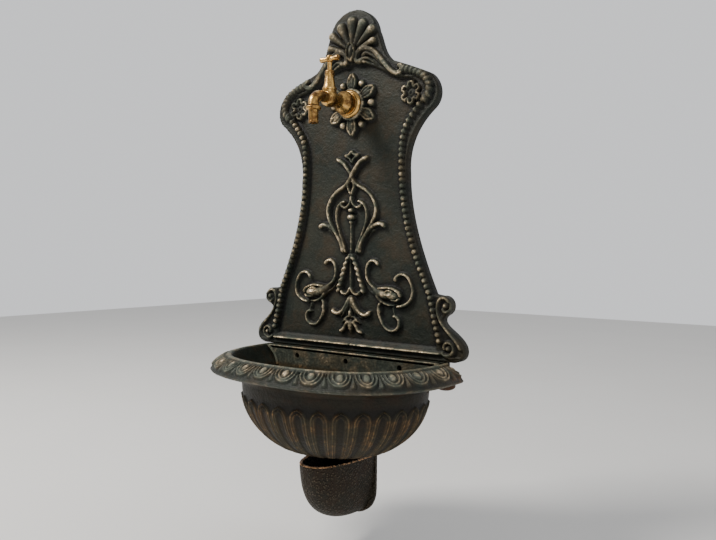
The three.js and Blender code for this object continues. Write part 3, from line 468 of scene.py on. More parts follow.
open_edges = [e for e in plate_bm.edges if e.is_boundary]
hole_edges = [
    e for e in open_edges
    if min(math.hypot(e.verts[0].co.x - hx, e.verts[0].co.z - hz) - hr for hx, hz, hr in holes) < 3
]
hole_back = carry(plate_bm, hole_edges, PAN)
rim_back = carry(plate_bm, [e for e in open_edges if e not in set(hole_edges)], 0.0)
pan_half = drawn_in(plate_edge, PAN_RIM)
pan_line = pan_half + [(-px, pz) for px, pz in reversed(pan_half)]
pan_verts = [plate_bm.verts.new((px, 0, pz)) for px, pz in pan_line]
pan_edges = [plate_bm.edges.new(pair) for pair in zip(pan_verts, pan_verts[1:] + pan_verts[:1])]
bmesh.ops.triangle_fill(plate_bm, use_beauty=True, use_dissolve=False, edges=rim_back + pan_edges)
pan_floor = carry(plate_bm, pan_edges, PAN)
bmesh.ops.triangle_fill(plate_bm, use_beauty=True, use_dissolve=False, edges=pan_floor + hole_back)


def add_block(bm, low, high):
    """A plain cast block, its corners in mm."""
    size = [b - a for a, b in zip(low, high)]
    made = bmesh.ops.create_cube(bm, size=1.0)["verts"]
    for v in made:
        v.co = [a + s * (c + 0.5) for a, s, c in zip(low, size, v.co)]
    edges = {e for v in made for e in v.link_edges}
    bmesh.ops.bevel(bm, geom=list(edges), offset=0.8, segments=2, affect="EDGES", profile=0.5, material=-1)


add_block(plate_bm, (-91, -PAN - 0.5, -RIB), (91, 0, RIB))


SHARP_FROM = 58


def piece(bm, name, body, nodes, material):
    """A finished piece from its mesh in mm, tied to the CAD nodes that it stands for."""
    bmesh.ops.scale(bm, vec=(MM, MM, MM), verts=bm.verts)
    mesh = bpy.data.meshes.new(name)
    bm.to_mesh(mesh)
    bm.free()
    mesh.materials.append(material)
    for polygon in mesh.polygons:
        polygon.use_smooth = True
    mesh.set_sharp_from_angle(angle=math.radians(SHARP_FROM))
    made = bpy.data.objects.new(name, mesh)
    bpy.context.scene.collection.objects.link(made)
    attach(made, body)
    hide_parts(*nodes)
    return made


class Finish:
    """A surface built up node by node."""

    def __init__(self, name):
        self.material = bpy.data.materials.new(name)
        self.material.use_nodes = True
        self.tree = self.material.node_tree
        self.shader = self.tree.nodes["Principled BSDF"]
        self.place = self.tree.nodes.new("ShaderNodeTexCoord").outputs["Object"]

    def node(self, kind, inputs=None, **settings):
        made = self.tree.nodes.new(kind)
        for key, value in settings.items():
            setattr(made, key, value)
        for key, value in (inputs or {}).items():
            self.feed(made.inputs[key], value)
        return made

    def feed(self, socket, value):
        if isinstance(value, bpy.types.NodeSocket):
            self.tree.links.new(value, socket)
        else:
            socket.default_value = value

    def noise(self, scale, detail=4.0, roughness=0.55):
        inputs = {"Vector": self.place, "Scale": scale, "Detail": detail, "Roughness": roughness}
        return self.node("ShaderNodeTexNoise", inputs).outputs["Fac"]

    def ramp(self, value, low, high, start=0.0, end=1.0):
        made = self.node(
            "ShaderNodeMapRange",
            {"Value": value, "From Min": low, "From Max": high, "To Min": start, "To Max": end},
            interpolation_type="SMOOTHSTEP",
        )
        return made.outputs["Result"]

    def math(self, operation, a, b):
        return self.node("ShaderNodeMath", {0: a, 1: b}, operation=operation).outputs[0]

    def mix(self, share, a, b, blend="MIX"):
        made = self.node("ShaderNodeMix", {0: share}, data_type="RGBA", blend_type=blend)
        self.feed(made.inputs[6], a)
        self.feed(made.inputs[7], b)
        return made.outputs[2]

    def bump(self, height, strength, distance, normal=None):
        inputs = {"Height": height, "Strength": strength, "Distance": distance}
        if normal is not None:
            inputs["Normal"] = normal
        return self.node("ShaderNodeBump", inputs).outputs["Normal"]


def patina_and_shading(
    name, ground_tone, warm_tone, ridge_tone, gilt_tone, gilt_from, gilt_to, brown,
    pebbled=False, rust_at=None, tint_below=None,
):
    """Dark lacquer on rough iron, lighter on the relief and rubbed to gilt on its crests.

    The piece's rub attribute says how far a place stands out: high places turn pale and gilt, low places are
    darkened, partly the dark patina of the hollows and partly painted shade, and on some parts it is set to
    give painted light and painted shade. Rust spreads round one spot, and a tint darkens what is below a
    level.
    """
    f = Finish(name)
    broad = f.noise(9.0, 5.0, 0.6)
    mottled = f.noise(60.0, 6.0, 0.65)
    pitted = f.noise(210.0, 3.0, 0.6)
    grain = f.noise(480.0, 4.0, 0.7)
    base = f.mix(f.ramp(broad, 0.35, 0.65), ground_tone, warm_tone)
    base = f.mix(f.ramp(mottled, 0.45, 0.75, 0.0, 0.6), base, brown)
    base = f.mix(f.ramp(pitted, 0.58, 0.80, 0.0, 0.22), base, ridge_tone)

    # Hollows are darkened, partly the dark patina of the iron and partly painted shade; raised places turn
    # pale, and the whole is clouded with green and brown.
    rub_shading_height = f.node("ShaderNodeAttribute", attribute_name="rub_and_shading").outputs["Fac"]
    uneven = f.math("ADD", f.ramp(mottled, 0.28, 0.72, -1.3, 1.3), f.ramp(pitted, 0.3, 0.7, -1.1, 1.1))
    lifted = f.math("ADD", rub_shading_height, f.math("MULTIPLY", uneven, 0.4))
    tone = f.mix(1.0, base, f.ramp(rub_shading_height, -2.0, 0.1, 0.10, 1.0), "MULTIPLY")
    tone = f.mix(f.ramp(lifted, 0.8, 3.2, 0.0, 0.85), tone, ridge_tone)
    clouded = f.mix(f.ramp(f.noise(30.0, 5.0, 0.6), 0.42, 0.60), (0.90, 1.0, 0.94, 1), (1.18, 1.0, 0.78, 1))
    tone = f.mix(1.0, tone, clouded, "MULTIPLY")
    gilded = f.ramp(f.math("ADD", rub_shading_height, uneven), gilt_from, gilt_to, 0.0, 0.9)
    tone = f.mix(gilded, tone, gilt_tone)
    if rust_at is not None:
        gap = f.node("ShaderNodeVectorMath", {0: f.place, 1: rust_at}, operation="DISTANCE").outputs["Value"]
        eaten = f.math("MULTIPLY", f.ramp(gap, 0.008, 0.036, 0.9, 0.0), f.ramp(pitted, 0.38, 0.6, 0.1, 1.0))
        tone = f.mix(eaten, tone, (0.095, 0.048, 0.022, 1))
    if tint_below is not None:
        level, tint = tint_below
        height = f.node("ShaderNodeSeparateXYZ", {"Vector": f.place}).outputs["Z"]
        tone = f.mix(f.ramp(height, level - 0.006, level + 0.002, 1.0, 0.0), tone, tint, "MULTIPLY")

    normal = f.bump(grain, 0.4, 0.0006)
    normal = f.bump(pitted, 0.55, 0.0016, normal)
    normal = f.bump(mottled, 0.6, 0.003, normal)
    if pebbled:
        cells = f.node("ShaderNodeTexVoronoi", {"Vector": f.place, "Scale": 260.0}).outputs["Distance"]
        tone = f.mix(f.ramp(cells, 0.05, 0.5, 0.75, 0.0), tone, ridge_tone)
        normal = f.bump(f.ramp(cells, 0.1, 0.7, 1.0, 0.0), 1.0, 0.0022, normal)
    f.shader.inputs["Specular IOR Level"].default_value = 0.24
    f.feed(f.shader.inputs["Base Color"], tone)
    f.feed(f.shader.inputs["Metallic"], f.ramp(gilded, 0.0, 1.0, 0.08, 0.65))
    f.feed(f.shader.inputs["Roughness"], f.ramp(gilded, 0.0, 1.0, 0.55, 0.34))
    f.feed(f.shader.inputs["Normal"], normal)
    return f.material


plate_finish = patina_and_shading(
    "plate patina",
    (0.009, 0.012, 0.009, 1), (0.025, 0.023, 0.016, 1), (0.112, 0.108, 0.080, 1), (0.68, 0.54, 0.35, 1),
    2.4, 6.0, (0.024, 0.020, 0.013, 1),
)
piece(plate_bm, "back_plate_casting", "body", ["backplate"], plate_finish)

# The basin: one iron casting, a half-round bowl with tongues all round under a plain band.
# The wide sloping rim carries an egg-and-dart row, and a low upstand with three screw holes
# closes the bowl towards the wall.
BASIN_TOP = PLATE_FOOT - 0.3
RIM_OUT = 17.0
RIM_POWER = 2.6
BOWL = (149.0, 122.0)
BOWL_OUT = 52.0
SHOULDER = -306.0
BOWL_HEIGHT = 108.5
BOWL_FULLNESS = 2.24
BOWL_FLOOR = -408.5
BOWL_WALL = 5.0
TONGUES = 19
TONGUE_SPAN = 2.05
TONGUE_TOP = 20.0
TONGUE_ROUND = 15.0
EGG_HALF = 18.5
EGG_PLACES = (
    -1.08, -0.94, -0.80, -0.66, -0.52, -0.39, -0.27, -0.155, -0.035,
    0.10, 0.235, 0.37, 0.485, 0.60, 0.725, 0.87, 1.02,
)
DRAIN = 12.0
PANEL_FACE = 24.0
PANEL_END = 143.0
HOLE_SPACING = 98.0
SHELF_Z = -299.0
RIM_END_X = 164.0
RIM_END_RUN = 8.0
RIM_END_OUT = 15.0


def rounded_plan(fraction, half_width, forward):
    """A place on a rounded D from wall (-1) to wall (+1), by its share of the way round."""
    t = np.linspace(0, math.pi / 2, 400)
    px = half_width * np.sin(t) ** (2 / RIM_POWER)
    py = forward * np.cos(t) ** (2 / RIM_POWER)
    run = np.concatenate([[0], np.cumsum(np.hypot(np.diff(px), np.diff(py)))])
    share = np.minimum(np.abs(fraction), 1) * run[-1]
    across = np.interp(share, run, px) * np.sign(fraction)
    out = RIM_OUT + np.interp(share, run, py) - 120 * np.maximum(np.abs(fraction) - 1, 0)
    return across, out


def oval_plan(angle, half_width, forward):
    """A place on the bowl's oval plan, which is centred a way out of the wall."""
    return half_width * np.sin(angle), BOWL_OUT + forward * np.cos(angle)


def bowl_ring(share, inset=0.0):
    """Sizes and height of the bowl's plan at a share of its depth."""
    narrowing = max(0.0, 1 - share**BOWL_FULLNESS) ** (1 / BOWL_FULLNESS)
    depth = (BOWL_HEIGHT - inset) * share
    return (BOWL[0] - inset) * narrowing, (BOWL[1] - inset) * narrowing, SHOULDER - depth


front_angles = np.linspace(-TONGUE_SPAN, TONGUE_SPAN, TONGUES * 24 + 1)
behind_angles = np.linspace(TONGUE_SPAN, 2 * math.pi - TONGUE_SPAN, 26)[1:]
angles = np.concatenate([front_angles, behind_angles])
floor_share = (SHOULDER - BOWL_FLOOR) / BOWL_HEIGHT
inner_floor = (SHOULDER - BOWL_FLOOR - BOWL_WALL) / (BOWL_HEIGHT - BOWL_WALL)


def arched(from_top, radius):
    """The width of a round-topped form at a distance from its top, as a share of its full width."""
    bow = np.sqrt(np.maximum(0, 1 - np.clip(1 - from_top / radius, 0, 1) ** 2))
    return np.where(from_top > radius, 1.0, bow)


def tongue_height(angle, depth):
    """Relief of the tongues: a raised round-topped outline, a second one inside it, a rib between."""
    place = (angle + TONGUE_SPAN) / (2 * TONGUE_SPAN) * TONGUES
    across = np.abs(place % 1 - 0.5) * 2
    from_top = depth - TONGUE_TOP
    outer = 0.74 * arched(from_top, TONGUE_ROUND)
    inner = 0.47 * arched(from_top - 5, TONGUE_ROUND * 0.62)
    on_outer = np.exp(-(((across - outer) / 0.13) ** 2)) * (from_top > -1)
    on_inner = np.exp(-(((across - inner) / 0.12) ** 2)) * (from_top > 4)
    heart = np.clip(1 - (across / 0.42) ** 2, 0, 1) * np.clip((from_top - 9) / 6, 0, 1)
    between = np.exp(-(((1 - across) / 0.11) ** 2)) * np.clip((from_top - 8) / 6, 0, 1)
    fade = np.clip((103 - depth) / 12, 0, 1) * (np.abs(angle) < TONGUE_SPAN)
    return fade * (3.4 * on_outer + 2.9 * on_inner + 0.45 * heart + 2.6 * between)


def egg_height(fraction, down):
    """Relief of the rim: an egg in two raised loops, open at the crest, and a dart between."""
    place = np.interp(fraction, EGG_PLACES, np.arange(len(EGG_PLACES)) + 0.5)
    across = (place % 1 - 0.5) * 2
    u, v = across * EGG_HALF, down
    egg = np.clip(1 - (u / 5.9) ** 2 - ((v - 7.0) / 9.2) ** 2, 0, 1) ** 0.6 * 4.2
    loops = np.zeros_like(u)
    for reach, depth, rise in ((9.6, 17.4, 3.6), (14.8, 21.6, 3.4)):
        q = np.sqrt((u / reach) ** 2 + (np.maximum(v - 3, 0) / (depth - 3)) ** 2)
        loops += rise * np.exp(-(((q - 1) * reach / 1.55) ** 2))
    side = EGG_HALF - np.abs(u)
    dart = np.clip(1 - (side / (0.8 + 3.2 * np.clip((v - 4) / 14, 0, 1))) ** 2, 0, 1) * 2.6
    window = np.clip((v + 0.5) / 1.0, 0, 1) * np.clip((23.5 - v) / 1.5, 0, 1) * (np.abs(fraction) <= 1)
    return window * np.maximum.reduce([egg, loops, dart])


# The rim's section from below, over its lip, up the egg-and-dart slope and down inside. Each row gives
# half its width, its reach, its height, how far down the slope it is, and how far it is rubbed.
SLOPE_ROWS = 24
SLOPE_FOOT = (FOOT_HALF, 186.0, -289.2)
SLOPE_RUN = (-22.3, -18.8, 18.2)
SLOPE_LENGTH = 28.0
rim_rows = [
    (165.0, 157.0, -297.8, None, 0.6), (181.0, 170.0, -295.8, None, 0.6), (191.5, 180.0, -293.6, None, 0.6),
    (195.8, 184.3, -291.6, None, 2.2), (*SLOPE_FOOT, SLOPE_LENGTH, 2.6),
]
for k in range(1, SLOPE_ROWS + 1):
    t = k / SLOPE_ROWS
    bulge = 1.6 * math.sin(math.pi * t)
    sizes = [start + run * t + bulge for start, run in zip(SLOPE_FOOT, SLOPE_RUN)]
    rim_rows.append((*sizes, SLOPE_LENGTH * (1 - t), 0.6))
rim_rows += [
    (173.6, 165.6, -268.0, None, 2.4), (171.2, 163.2, -267.35, None, 2.8), (167.6, 159.6, -267.6, None, 2.0),
    (165.6, 157.6, -270.5, None, 0.6), (160.5, 152.5, -281.0, None, 0.6), (154.0, 146.0, -291.3, None, 0.6),
]

# The whole section runs from the middle of the underside, over the rim, to the bowl's floor.
profile = [("bowl", share, 0.0) for share in np.sin(np.linspace(math.asin(floor_share), 0, 92))]
profile += [("rim", *row) for row in rim_rows]
profile += [("bowl", share, BOWL_WALL) for share in np.sin(np.linspace(0.0, math.asin(inner_floor), 34))]

basin_bm = bmesh.new()
turn_count, ring_count = len(angles) - 1, len(profile) - 1
bmesh.ops.create_grid(basin_bm, x_segments=turn_count, y_segments=ring_count, size=0.5)
basin_rub_shading = basin_bm.verts.layers.float.new("rub_and_shading")
places = np.array([v.co[:2] for v in basin_bm.verts])
column = np.rint((places[:, 0] + 0.5) * turn_count).astype(int)
row = np.rint((places[:, 1] + 0.5) * ring_count).astype(int)
fractions = np.where(angles > math.pi, angles - 2 * math.pi, angles) / TONGUE_SPAN
px, py, pz, height = np.zeros((4, len(column)))
for j, (kind, *sizes) in enumerate(profile):
    here = row == j
    a, g = angles[column[here]], fractions[column[here]]
    relief_here = np.zeros(len(a))
    if kind == "bowl":
        share, inset = sizes
        half_width, forward, level = bowl_ring(share, inset)
        across, out = oval_plan(a, half_width, forward)
        away_x, away_y = np.sin(a), np.cos(a)
        sideways, upwards = 1 - 0.75 * share, -0.85 * share
        worn_and_shade = -0.6
        if inset == 0:
            relief_here = tongue_height(a, SHOULDER - level)
            fluted = np.clip((SHOULDER - level - 10) / 8, 0, 1) * (np.abs(a) < TONGUE_SPAN)
            # The tongues' ridges are paler; the plain band under the rim and the valleys between the tongues
            # are darkened: painted shade under the rim.
            worn_and_shade = relief_here * 1.25 - 0.8 - 0.7 * fluted
    else:
        half_width, forward, level, down, worn_and_shade = sizes
        across, out = rounded_plan(g, half_width, forward)
        away_x, away_y = across / half_width, np.maximum(out - RIM_OUT, 0) / forward
        length = np.maximum(np.hypot(away_x, away_y), 1e-6)
        away_x, away_y = away_x / length, away_y / length
        sideways, upwards = 0.72, 0.62
        if down is not None:
            relief_here = egg_height(g, down)
            worn_and_shade = np.maximum(1.3 * relief_here - 1.6, worn_and_shade - 1.5)
    px[here] = across + away_x * relief_here * sideways
    py[here] = out + away_y * relief_here * sideways
    pz[here] = level + relief_here * upwards
    height[here] = worn_and_shade
for v in basin_bm.verts:
    v.co = (px[v.index], -py[v.index], pz[v.index])
    v[basin_rub_shading] = height[v.index]
bmesh.ops.remove_doubles(basin_bm, verts=basin_bm.verts, dist=0.02)


def close_floor(bm, z, hole_z, centre_out, radius):
    """Closes the open ring nearest to a height with a flat floor that has a round hole."""
    ring_edges = [e for e in bm.edges if e.is_boundary and abs(e.verts[0].co.z - z) < 0.6]
    made = bmesh.ops.create_circle(bm, cap_ends=False, radius=radius, segments=36)["verts"]
    for v in made:
        v.co = (v.co.x, v.co.y - centre_out, hole_z)
    hole = list({e for v in made for e in v.link_edges})
    bmesh.ops.triangle_fill(bm, use_beauty=True, use_dissolve=False, edges=ring_edges + hole)
    return hole


drain_under = close_floor(basin_bm, BOWL_FLOOR, BOWL_FLOOR, BOWL_OUT, DRAIN)
drain_above = close_floor(basin_bm, BOWL_FLOOR + BOWL_WALL, BOWL_FLOOR + BOWL_WALL, BOWL_OUT, DRAIN)
bmesh.ops.bridge_loops(basin_bm, edges=drain_under + drain_above)


def cut_at_wall(bm, y):
    """Takes off what lies behind an upright plane and closes the cut."""
    geometry = bm.verts[:] + bm.edges[:] + bm.faces[:]
    cut = bmesh.ops.bisect_plane(bm, geom=geometry, plane_co=(0, y, 0), plane_no=(0, 1, 0), clear_outer=True)
    edges = [g for g in cut["geom_cut"] if isinstance(g, bmesh.types.BMEdge)]
    bmesh.ops.triangle_fill(bm, use_beauty=True, use_dissolve=False, edges=edges)


cut_at_wall(basin_bm, 0.0)
# The rim's ends stop short of the wall: outside the upstand they are sawn off at a slant.
for v in basin_bm.verts:
    beyond = (abs(v.co.x) - RIM_END_X) / RIM_END_RUN
    if beyond > 0:
        v.co.y = min(v.co.y, -RIM_END_OUT * min(1.0, beyond))
bmesh.ops.recalc_face_normals(basin_bm, faces=basin_bm.faces)


def mirrored(right_half):
    """A whole outline from its right half, top to foot."""
    return right_half + [(-px, pz) for px, pz in reversed(right_half)]


def add_slab(bm, outline, front, thickness, holes=()):
    """A flat slab from its outline in the plane of the wall, with round holes."""
    verts = [bm.verts.new((px, -front, pz)) for px, pz in outline]
    edges = [bm.edges.new((a, b)) for a, b in zip(verts, verts[1:] + verts[:1])]
    for hx, hz, hr in holes:
        ring_verts = bmesh.ops.create_circle(bm, cap_ends=False, radius=hr, segments=20)["verts"]
        for v in ring_verts:
            v.co = (v.co.x + hx, -front, v.co.y + hz)
        edges += list({e for v in ring_verts for e in v.link_edges})
    filled = bmesh.ops.triangle_fill(bm, use_beauty=True, edges=edges)["geom"]
    faces = [g for g in filled if isinstance(g, bmesh.types.BMFace)]
    grown = bmesh.ops.extrude_face_region(bm, geom=faces, use_keep_orig=True)["geom"]
    for v in [g for g in grown if isinstance(g, bmesh.types.BMVert)]:
        v.co.y += thickness
    made = faces + [g for g in grown if isinstance(g, bmesh.types.BMFace)]
    whole = {f for g in made for e in g.edges for f in e.link_faces}
    bmesh.ops.recalc_face_normals(bm, faces=list(whole))
    return {v for f in whole for v in f.verts}


# The upstand's face, with its slanted ends and its foot on the bowl's inner wall.
panel_end_line = [(165.0, BASIN_TOP), (157.5, -274.0), (150.0, -281.5), (145.0, -289.0), (PANEL_END, SHELF_Z)]
panel_half = panel_end_line + [(151.0, SHELF_Z)]
for share in np.sin(np.linspace(0.1, math.asin(inner_floor + 0.01), 16)):
    half_width, forward, level = bowl_ring(share, BOWL_WALL - 2)
    lever = (BOWL_OUT - PANEL_FACE) / forward
    panel_half.append((half_width * math.sqrt(max(0.0, 1 - lever * lever)), level))
panel_holes = [(s * HOLE_SPACING, BASIN_TOP - 13.5, 4.2) for s in (-1, 0, 1)]
# The upstand's front face is painted lighter, painted light for the lamp that reaches it, with mottled
# flecks; its back and edges are painted darker, painted shade.
for v in add_slab(basin_bm, mirrored(panel_half), PANEL_FACE, BOWL_WALL, panel_holes):
    v[basin_rub_shading] = 1.5 if v.co.y < 1 - PANEL_FACE else -1.0

# Behind it: a collar round each hole, two pads between them, and a rough lump under each rim end.
COLLAR_DEPTH = PANEL_FACE - 6
# The collars are painted dark: painted shade behind the upstand and in its holes.
for s in (-1, 0, 1):
    collar = bmesh.ops.create_cone(
        basin_bm, cap_ends=True, segments=24, radius1=9.5, radius2=8.5, depth=COLLAR_DEPTH,
    )["verts"]
    for v in collar:
        v.co = (v.co.x + s * HOLE_SPACING, -COLLAR_DEPTH / 2 + v.co.z, v.co.y + BASIN_TOP - 15)
        v[basin_rub_shading] = -2.6
for s in (-1, 1):
    pad_x = s * HOLE_SPACING / 2
    add_block(basin_bm, (pad_x - 14, -20, BASIN_TOP - 24), (pad_x + 14, 0, BASIN_TOP - 6))
    lump = bmesh.ops.create_icosphere(basin_bm, subdivisions=3, radius=1.0)["verts"]
    for v in lump:
        v.co = (s * 170 + 15 * v.co.x, -17 + 13 * v.co.y, BASIN_TOP - 31 + 7 * v.co.z)

# The upstand is a shallow box: a web on top, two slanted ends, and a thin web to the rim behind each.
add_block(basin_bm, (-158, -PANEL_FACE, BASIN_TOP - 6), (158, 0, BASIN_TOP))
for s in (-1, 1):
    end_strip = [(s * px, pz) for px, pz in panel_end_line]
    end_strip += [(s * (px - 5), pz) for px, pz in reversed(panel_end_line)]
    for v in add_slab(basin_bm, end_strip, PANEL_FACE + 1.2, PANEL_FACE - 0.8):
        v[basin_rub_shading] = 2.6 if v.co.y < -PANEL_FACE else -0.5
    inner, outer = sorted((s * (PANEL_END - 2), s * 168.0))
    add_block(basin_bm, (inner, -5, SHELF_Z - 4), (outer, 0, BASIN_TOP - 1))
    inner, outer = sorted((s * (PANEL_END - 2), s * 153.5))
    add_block(basin_bm, (inner, -PANEL_FACE, SHELF_Z - 5), (outer, 0, SHELF_Z))
# A thin strip along the upstand's top front edge is painted pale: a painted highlight line, partly gilt.
before_edge = set(basin_bm.verts)
add_block(basin_bm, (-162, -PANEL_FACE - 0.8, BASIN_TOP - 2.4), (162, -20, BASIN_TOP))
for v in set(basin_bm.verts) - before_edge:
    v[basin_rub_shading] = 3.2
basin_finish = patina_and_shading(
    "basin patina",
    (0.022, 0.025, 0.020, 1), (0.034, 0.033, 0.025, 1), (0.118, 0.115, 0.090, 1), (0.56, 0.43, 0.28, 1),
    2.6, 6.2, (0.036, 0.027, 0.018, 1),
    rust_at=(0.182, -0.025, -0.298), tint_below=(-0.293, (0.74, 0.53, 0.34, 1)),
)
piece(basin_bm, "basin_casting", "body", ["basin"], basin_finish)

# The lower cup: a small deep half-round cup of the same iron, open above, cast in one with
# the flat flange that carries it on the wall. Its skin is pebbled, its lip rubbed to copper with a painted
# highlight, and its inside painted dark as shade.
CUP_TOP = -422.0
CUP_DEPTH = 92.2
CUP = (43.0, 114.0)
CUP_WALL = 5.0
CUP_POWER = 2.4
CUP_FULLNESS = 2.85
CUP_LEAN = 0.07
OUTER_ROWS = 70
FLANGE_HALF = 44.0
FLANGE_TOP = BOWL_FLOOR - 5
FLANGE_FOOT = -516.2
FLANGE = 5.0


def cup_ring(share, inset=0.0):
    """Half-width, reach and height of the cup at a share of its depth."""
    size = (1 - share**CUP_FULLNESS) ** (1 / CUP_FULLNESS) * (1 - CUP_LEAN * share)
    return (CUP[0] - inset) * size, (CUP[1] - inset) * size, CUP_TOP - (CUP_DEPTH - inset) * share


lip = ((0.0, 0.4), (0.5, 1.3), (1.6, 1.9), (3.2, 1.7), (4.5, 0.6))
cup_profile = [cup_ring(s) for s in np.sin(np.linspace(math.pi / 2 - 0.02, 0.0, OUTER_ROWS))]
cup_profile += [(CUP[0] - d, CUP[1] - d, CUP_TOP + h) for d, h in lip]
cup_profile += [cup_ring(s, CUP_WALL) for s in np.sin(np.linspace(0.02, math.pi / 2 - 0.02, 44))]
cup_bm = bmesh.new()
bmesh.ops.create_grid(cup_bm, x_segments=170, y_segments=len(cup_profile) - 1, size=0.5)
cup_rub_shading = cup_bm.verts.layers.float.new("rub_and_shading")
for v in cup_bm.verts:
    j = round((v.co.y + 0.5) * (len(cup_profile) - 1))
    turn = v.co.x * (math.pi + 0.06)
    half_width, reach, level = cup_profile[j]
    sine, cosine = math.sin(turn), math.cos(turn)
    across = half_width * math.copysign(abs(sine) ** (2 / CUP_POWER), sine)
    out = reach * math.copysign(abs(cosine) ** (2 / CUP_POWER), cosine)
    # Outside a little darker; the lip rubbed to copper, partly a painted highlight; the inside painted dark:
    # painted shade inside the cup.
    v[cup_rub_shading] = -0.7 if j < OUTER_ROWS else (2.8 if j < OUTER_ROWS + len(lip) else -2.0)
    v.co = (across, -out, level)
for wall_z in (min(c[2] for c in cup_profile), cup_profile[-1][2]):
    ends = [e for e in cup_bm.edges if e.is_boundary and all(abs(v.co.z - wall_z) < 0.05 for v in e.verts)]
    bmesh.ops.contextual_create(cup_bm, geom=list({v for e in ends for v in e.verts}))
cut_at_wall(cup_bm, -2.5)
bmesh.ops.recalc_face_normals(cup_bm, faces=cup_bm.faces)
flange_half = [(FLANGE_HALF - 1.5, FLANGE_TOP), (FLANGE_HALF, FLANGE_TOP - 1.5)]
flange_curve = [(FLANGE_HALF, -472), (FLANGE_HALF, -503), (24, FLANGE_FOOT), (0, FLANGE_FOOT)]
flange_half += bezier(flange_curve, 20)[:-1]
add_slab(cup_bm, mirrored(flange_half), FLANGE, FLANGE)
cup_finish = patina_and_shading(
    "cup patina",
    (0.022, 0.015, 0.008, 1), (0.028, 0.022, 0.014, 1), (0.105, 0.082, 0.053, 1), (0.72, 0.40, 0.20, 1),
    1.4, 2.8, (0.030, 0.018, 0.010, 1), pebbled=True,
)
piece(cup_bm, "lower_cup_casting", "body", ["lower_cup"], cup_finish)

# The tap: a plain brass bib tap of turned and cast pieces, screwed through the rosette.
# The brass is worn yellow, bright on its edges and brown where hands don't reach.
SPINDLE_OUT = 67.0
SPOUT_OUT = 103.0
HANDLE_Z = 168.0


def brass(name):
    """Old yellow brass: bright and brown in patches, with fine turning marks and dents."""
    f = Finish(name)
    broad = f.noise(70.0, 5.0, 0.6)
    fine = f.noise(520.0, 4.0, 0.6)
    tone = f.mix(f.ramp(broad, 0.36, 0.6), (0.13, 0.058, 0.016, 1), (0.66, 0.39, 0.12, 1))
    tone = f.mix(f.ramp(fine, 0.5, 0.8, 0.0, 0.5), tone, (0.85, 0.60, 0.26, 1))
    f.feed(f.shader.inputs["Base Color"], tone)
    f.shader.inputs["Metallic"].default_value = 0.95
    f.feed(f.shader.inputs["Roughness"], f.ramp(broad, 0.3, 0.7, 0.42, 0.2))
    f.feed(f.shader.inputs["Normal"], f.bump(f.math("ADD", broad, fine), 0.3, 0.0008))
    return f.material


def turned(bm, profile, place, upright=True, steps=48):
    """A turned form from (radius, along) pairs, on an upright axis or one that stands out of the wall."""
    verts = [bm.verts.new((r, 0, a) if upright else (r, -a, 0)) for r, a in profile]
    edges = [bm.edges.new(pair) for pair in zip(verts, verts[1:])]
    axis = (0, 0, 1) if upright else (0, 1, 0)
    bmesh.ops.spin(
        bm, geom=verts + edges, cent=(0, 0, 0), axis=axis, angle=2 * math.pi, steps=steps, use_merge=True,
    )
    new = [v for v in bm.verts if not v.tag]
    bmesh.ops.remove_doubles(bm, verts=new, dist=0.001)
    new = [v for v in bm.verts if not v.tag]
    bmesh.ops.translate(bm, vec=place, verts=new)
    faces = list({f for v in new for f in v.link_faces})
    bmesh.ops.recalc_face_normals(bm, faces=faces)
    for v in new:
        v.tag = True


def rounded_turning(points, radius=0.7):
    """Softens the corners of a turned profile with two short chamfers each."""
    out = [points[0]]
    for before, here, after in zip(points, points[1:], points[2:]):
        b, h, a = (np.array(p, float) for p in (before, here, after))
        back, on = np.linalg.norm(b - h), np.linalg.norm(a - h)
        if back < 0.01 or on < 0.01:
            continue
        near, far = h + (b - h) * min(radius / back, 0.4), h + (a - h) * min(radius / on, 0.4)
        out += [tuple(near), tuple(near * 0.25 + h * 0.5 + far * 0.25), tuple(far)]
    return out + [points[-1]]


tap_brass = brass("worn brass")
ring_bm = bmesh.new()
turned(
    ring_bm,
    rounded_turning([
        (10.8, 18.3), (21.3, 18.3), (21.3, 20.8), (18.9, 23.2), (18.2, 23.4), (17.6, 26.3), (10.8, 26.3),
        (10.8, 18.3),
    ], 0.5),
    (0, 0, INLET_Z), upright=False, steps=64,
)
piece(ring_bm, "tap_ring", "body", ["tap_escutcheon"], tap_brass)

body_bm = bmesh.new()
turned(
    body_bm,
    rounded_turning([
        (0, 0.5), (10.4, 0.5), (10.4, 26.6), (15.0, 26.6), (17.0, 29.5), (17.0, 35.5), (13.8, 40), (9.8, 45),
        (8.8, 52), (11.6, 59), (12.6, 67), (11.6, 73.5), (8.5, 77), (0, 77),
    ], 1.4),
    (0, 0, INLET_Z), upright=False, steps=56,
)
spout_line = smooth_line([(66, 0), (76, 0.2), (87, 0.4), (96, -2.2), (101.6, -8.6), (103, -16.2)], 1.6)
ring_rows = []
for k, (out, down) in enumerate(spout_line):
    ahead = spout_line[min(k + 1, len(spout_line) - 1)] - spout_line[max(k - 1, 0)]
    lean = math.atan2(ahead[1], ahead[0])
    radius = 8.2 - 0.5 * math.sin(math.pi * k / len(spout_line))
    closed = k in (0, len(spout_line) - 1)
    row_verts = bmesh.ops.create_circle(body_bm, cap_ends=closed, radius=radius, segments=40)["verts"]
    for v in row_verts:
        a, b = v.co.x, v.co.y
        v.co = (a, -(out - b * math.sin(lean)), INLET_Z + down + b * math.cos(lean))
        v.tag = True
    ring_rows.append(list({e for v in row_verts for e in v.link_edges}))
for first, second in zip(ring_rows, ring_rows[1:]):
    bmesh.ops.bridge_loops(body_bm, edges=first + second)
barrel = rounded_turning([(0, 108), (9.4, 108), (9.8, 117), (10.6, 121.9), (0, 121.9)], 0.8)
turned(body_bm, barrel, (0, -SPINDLE_OUT, 0))
bmesh.ops.recalc_face_normals(body_bm, faces=body_bm.faces)
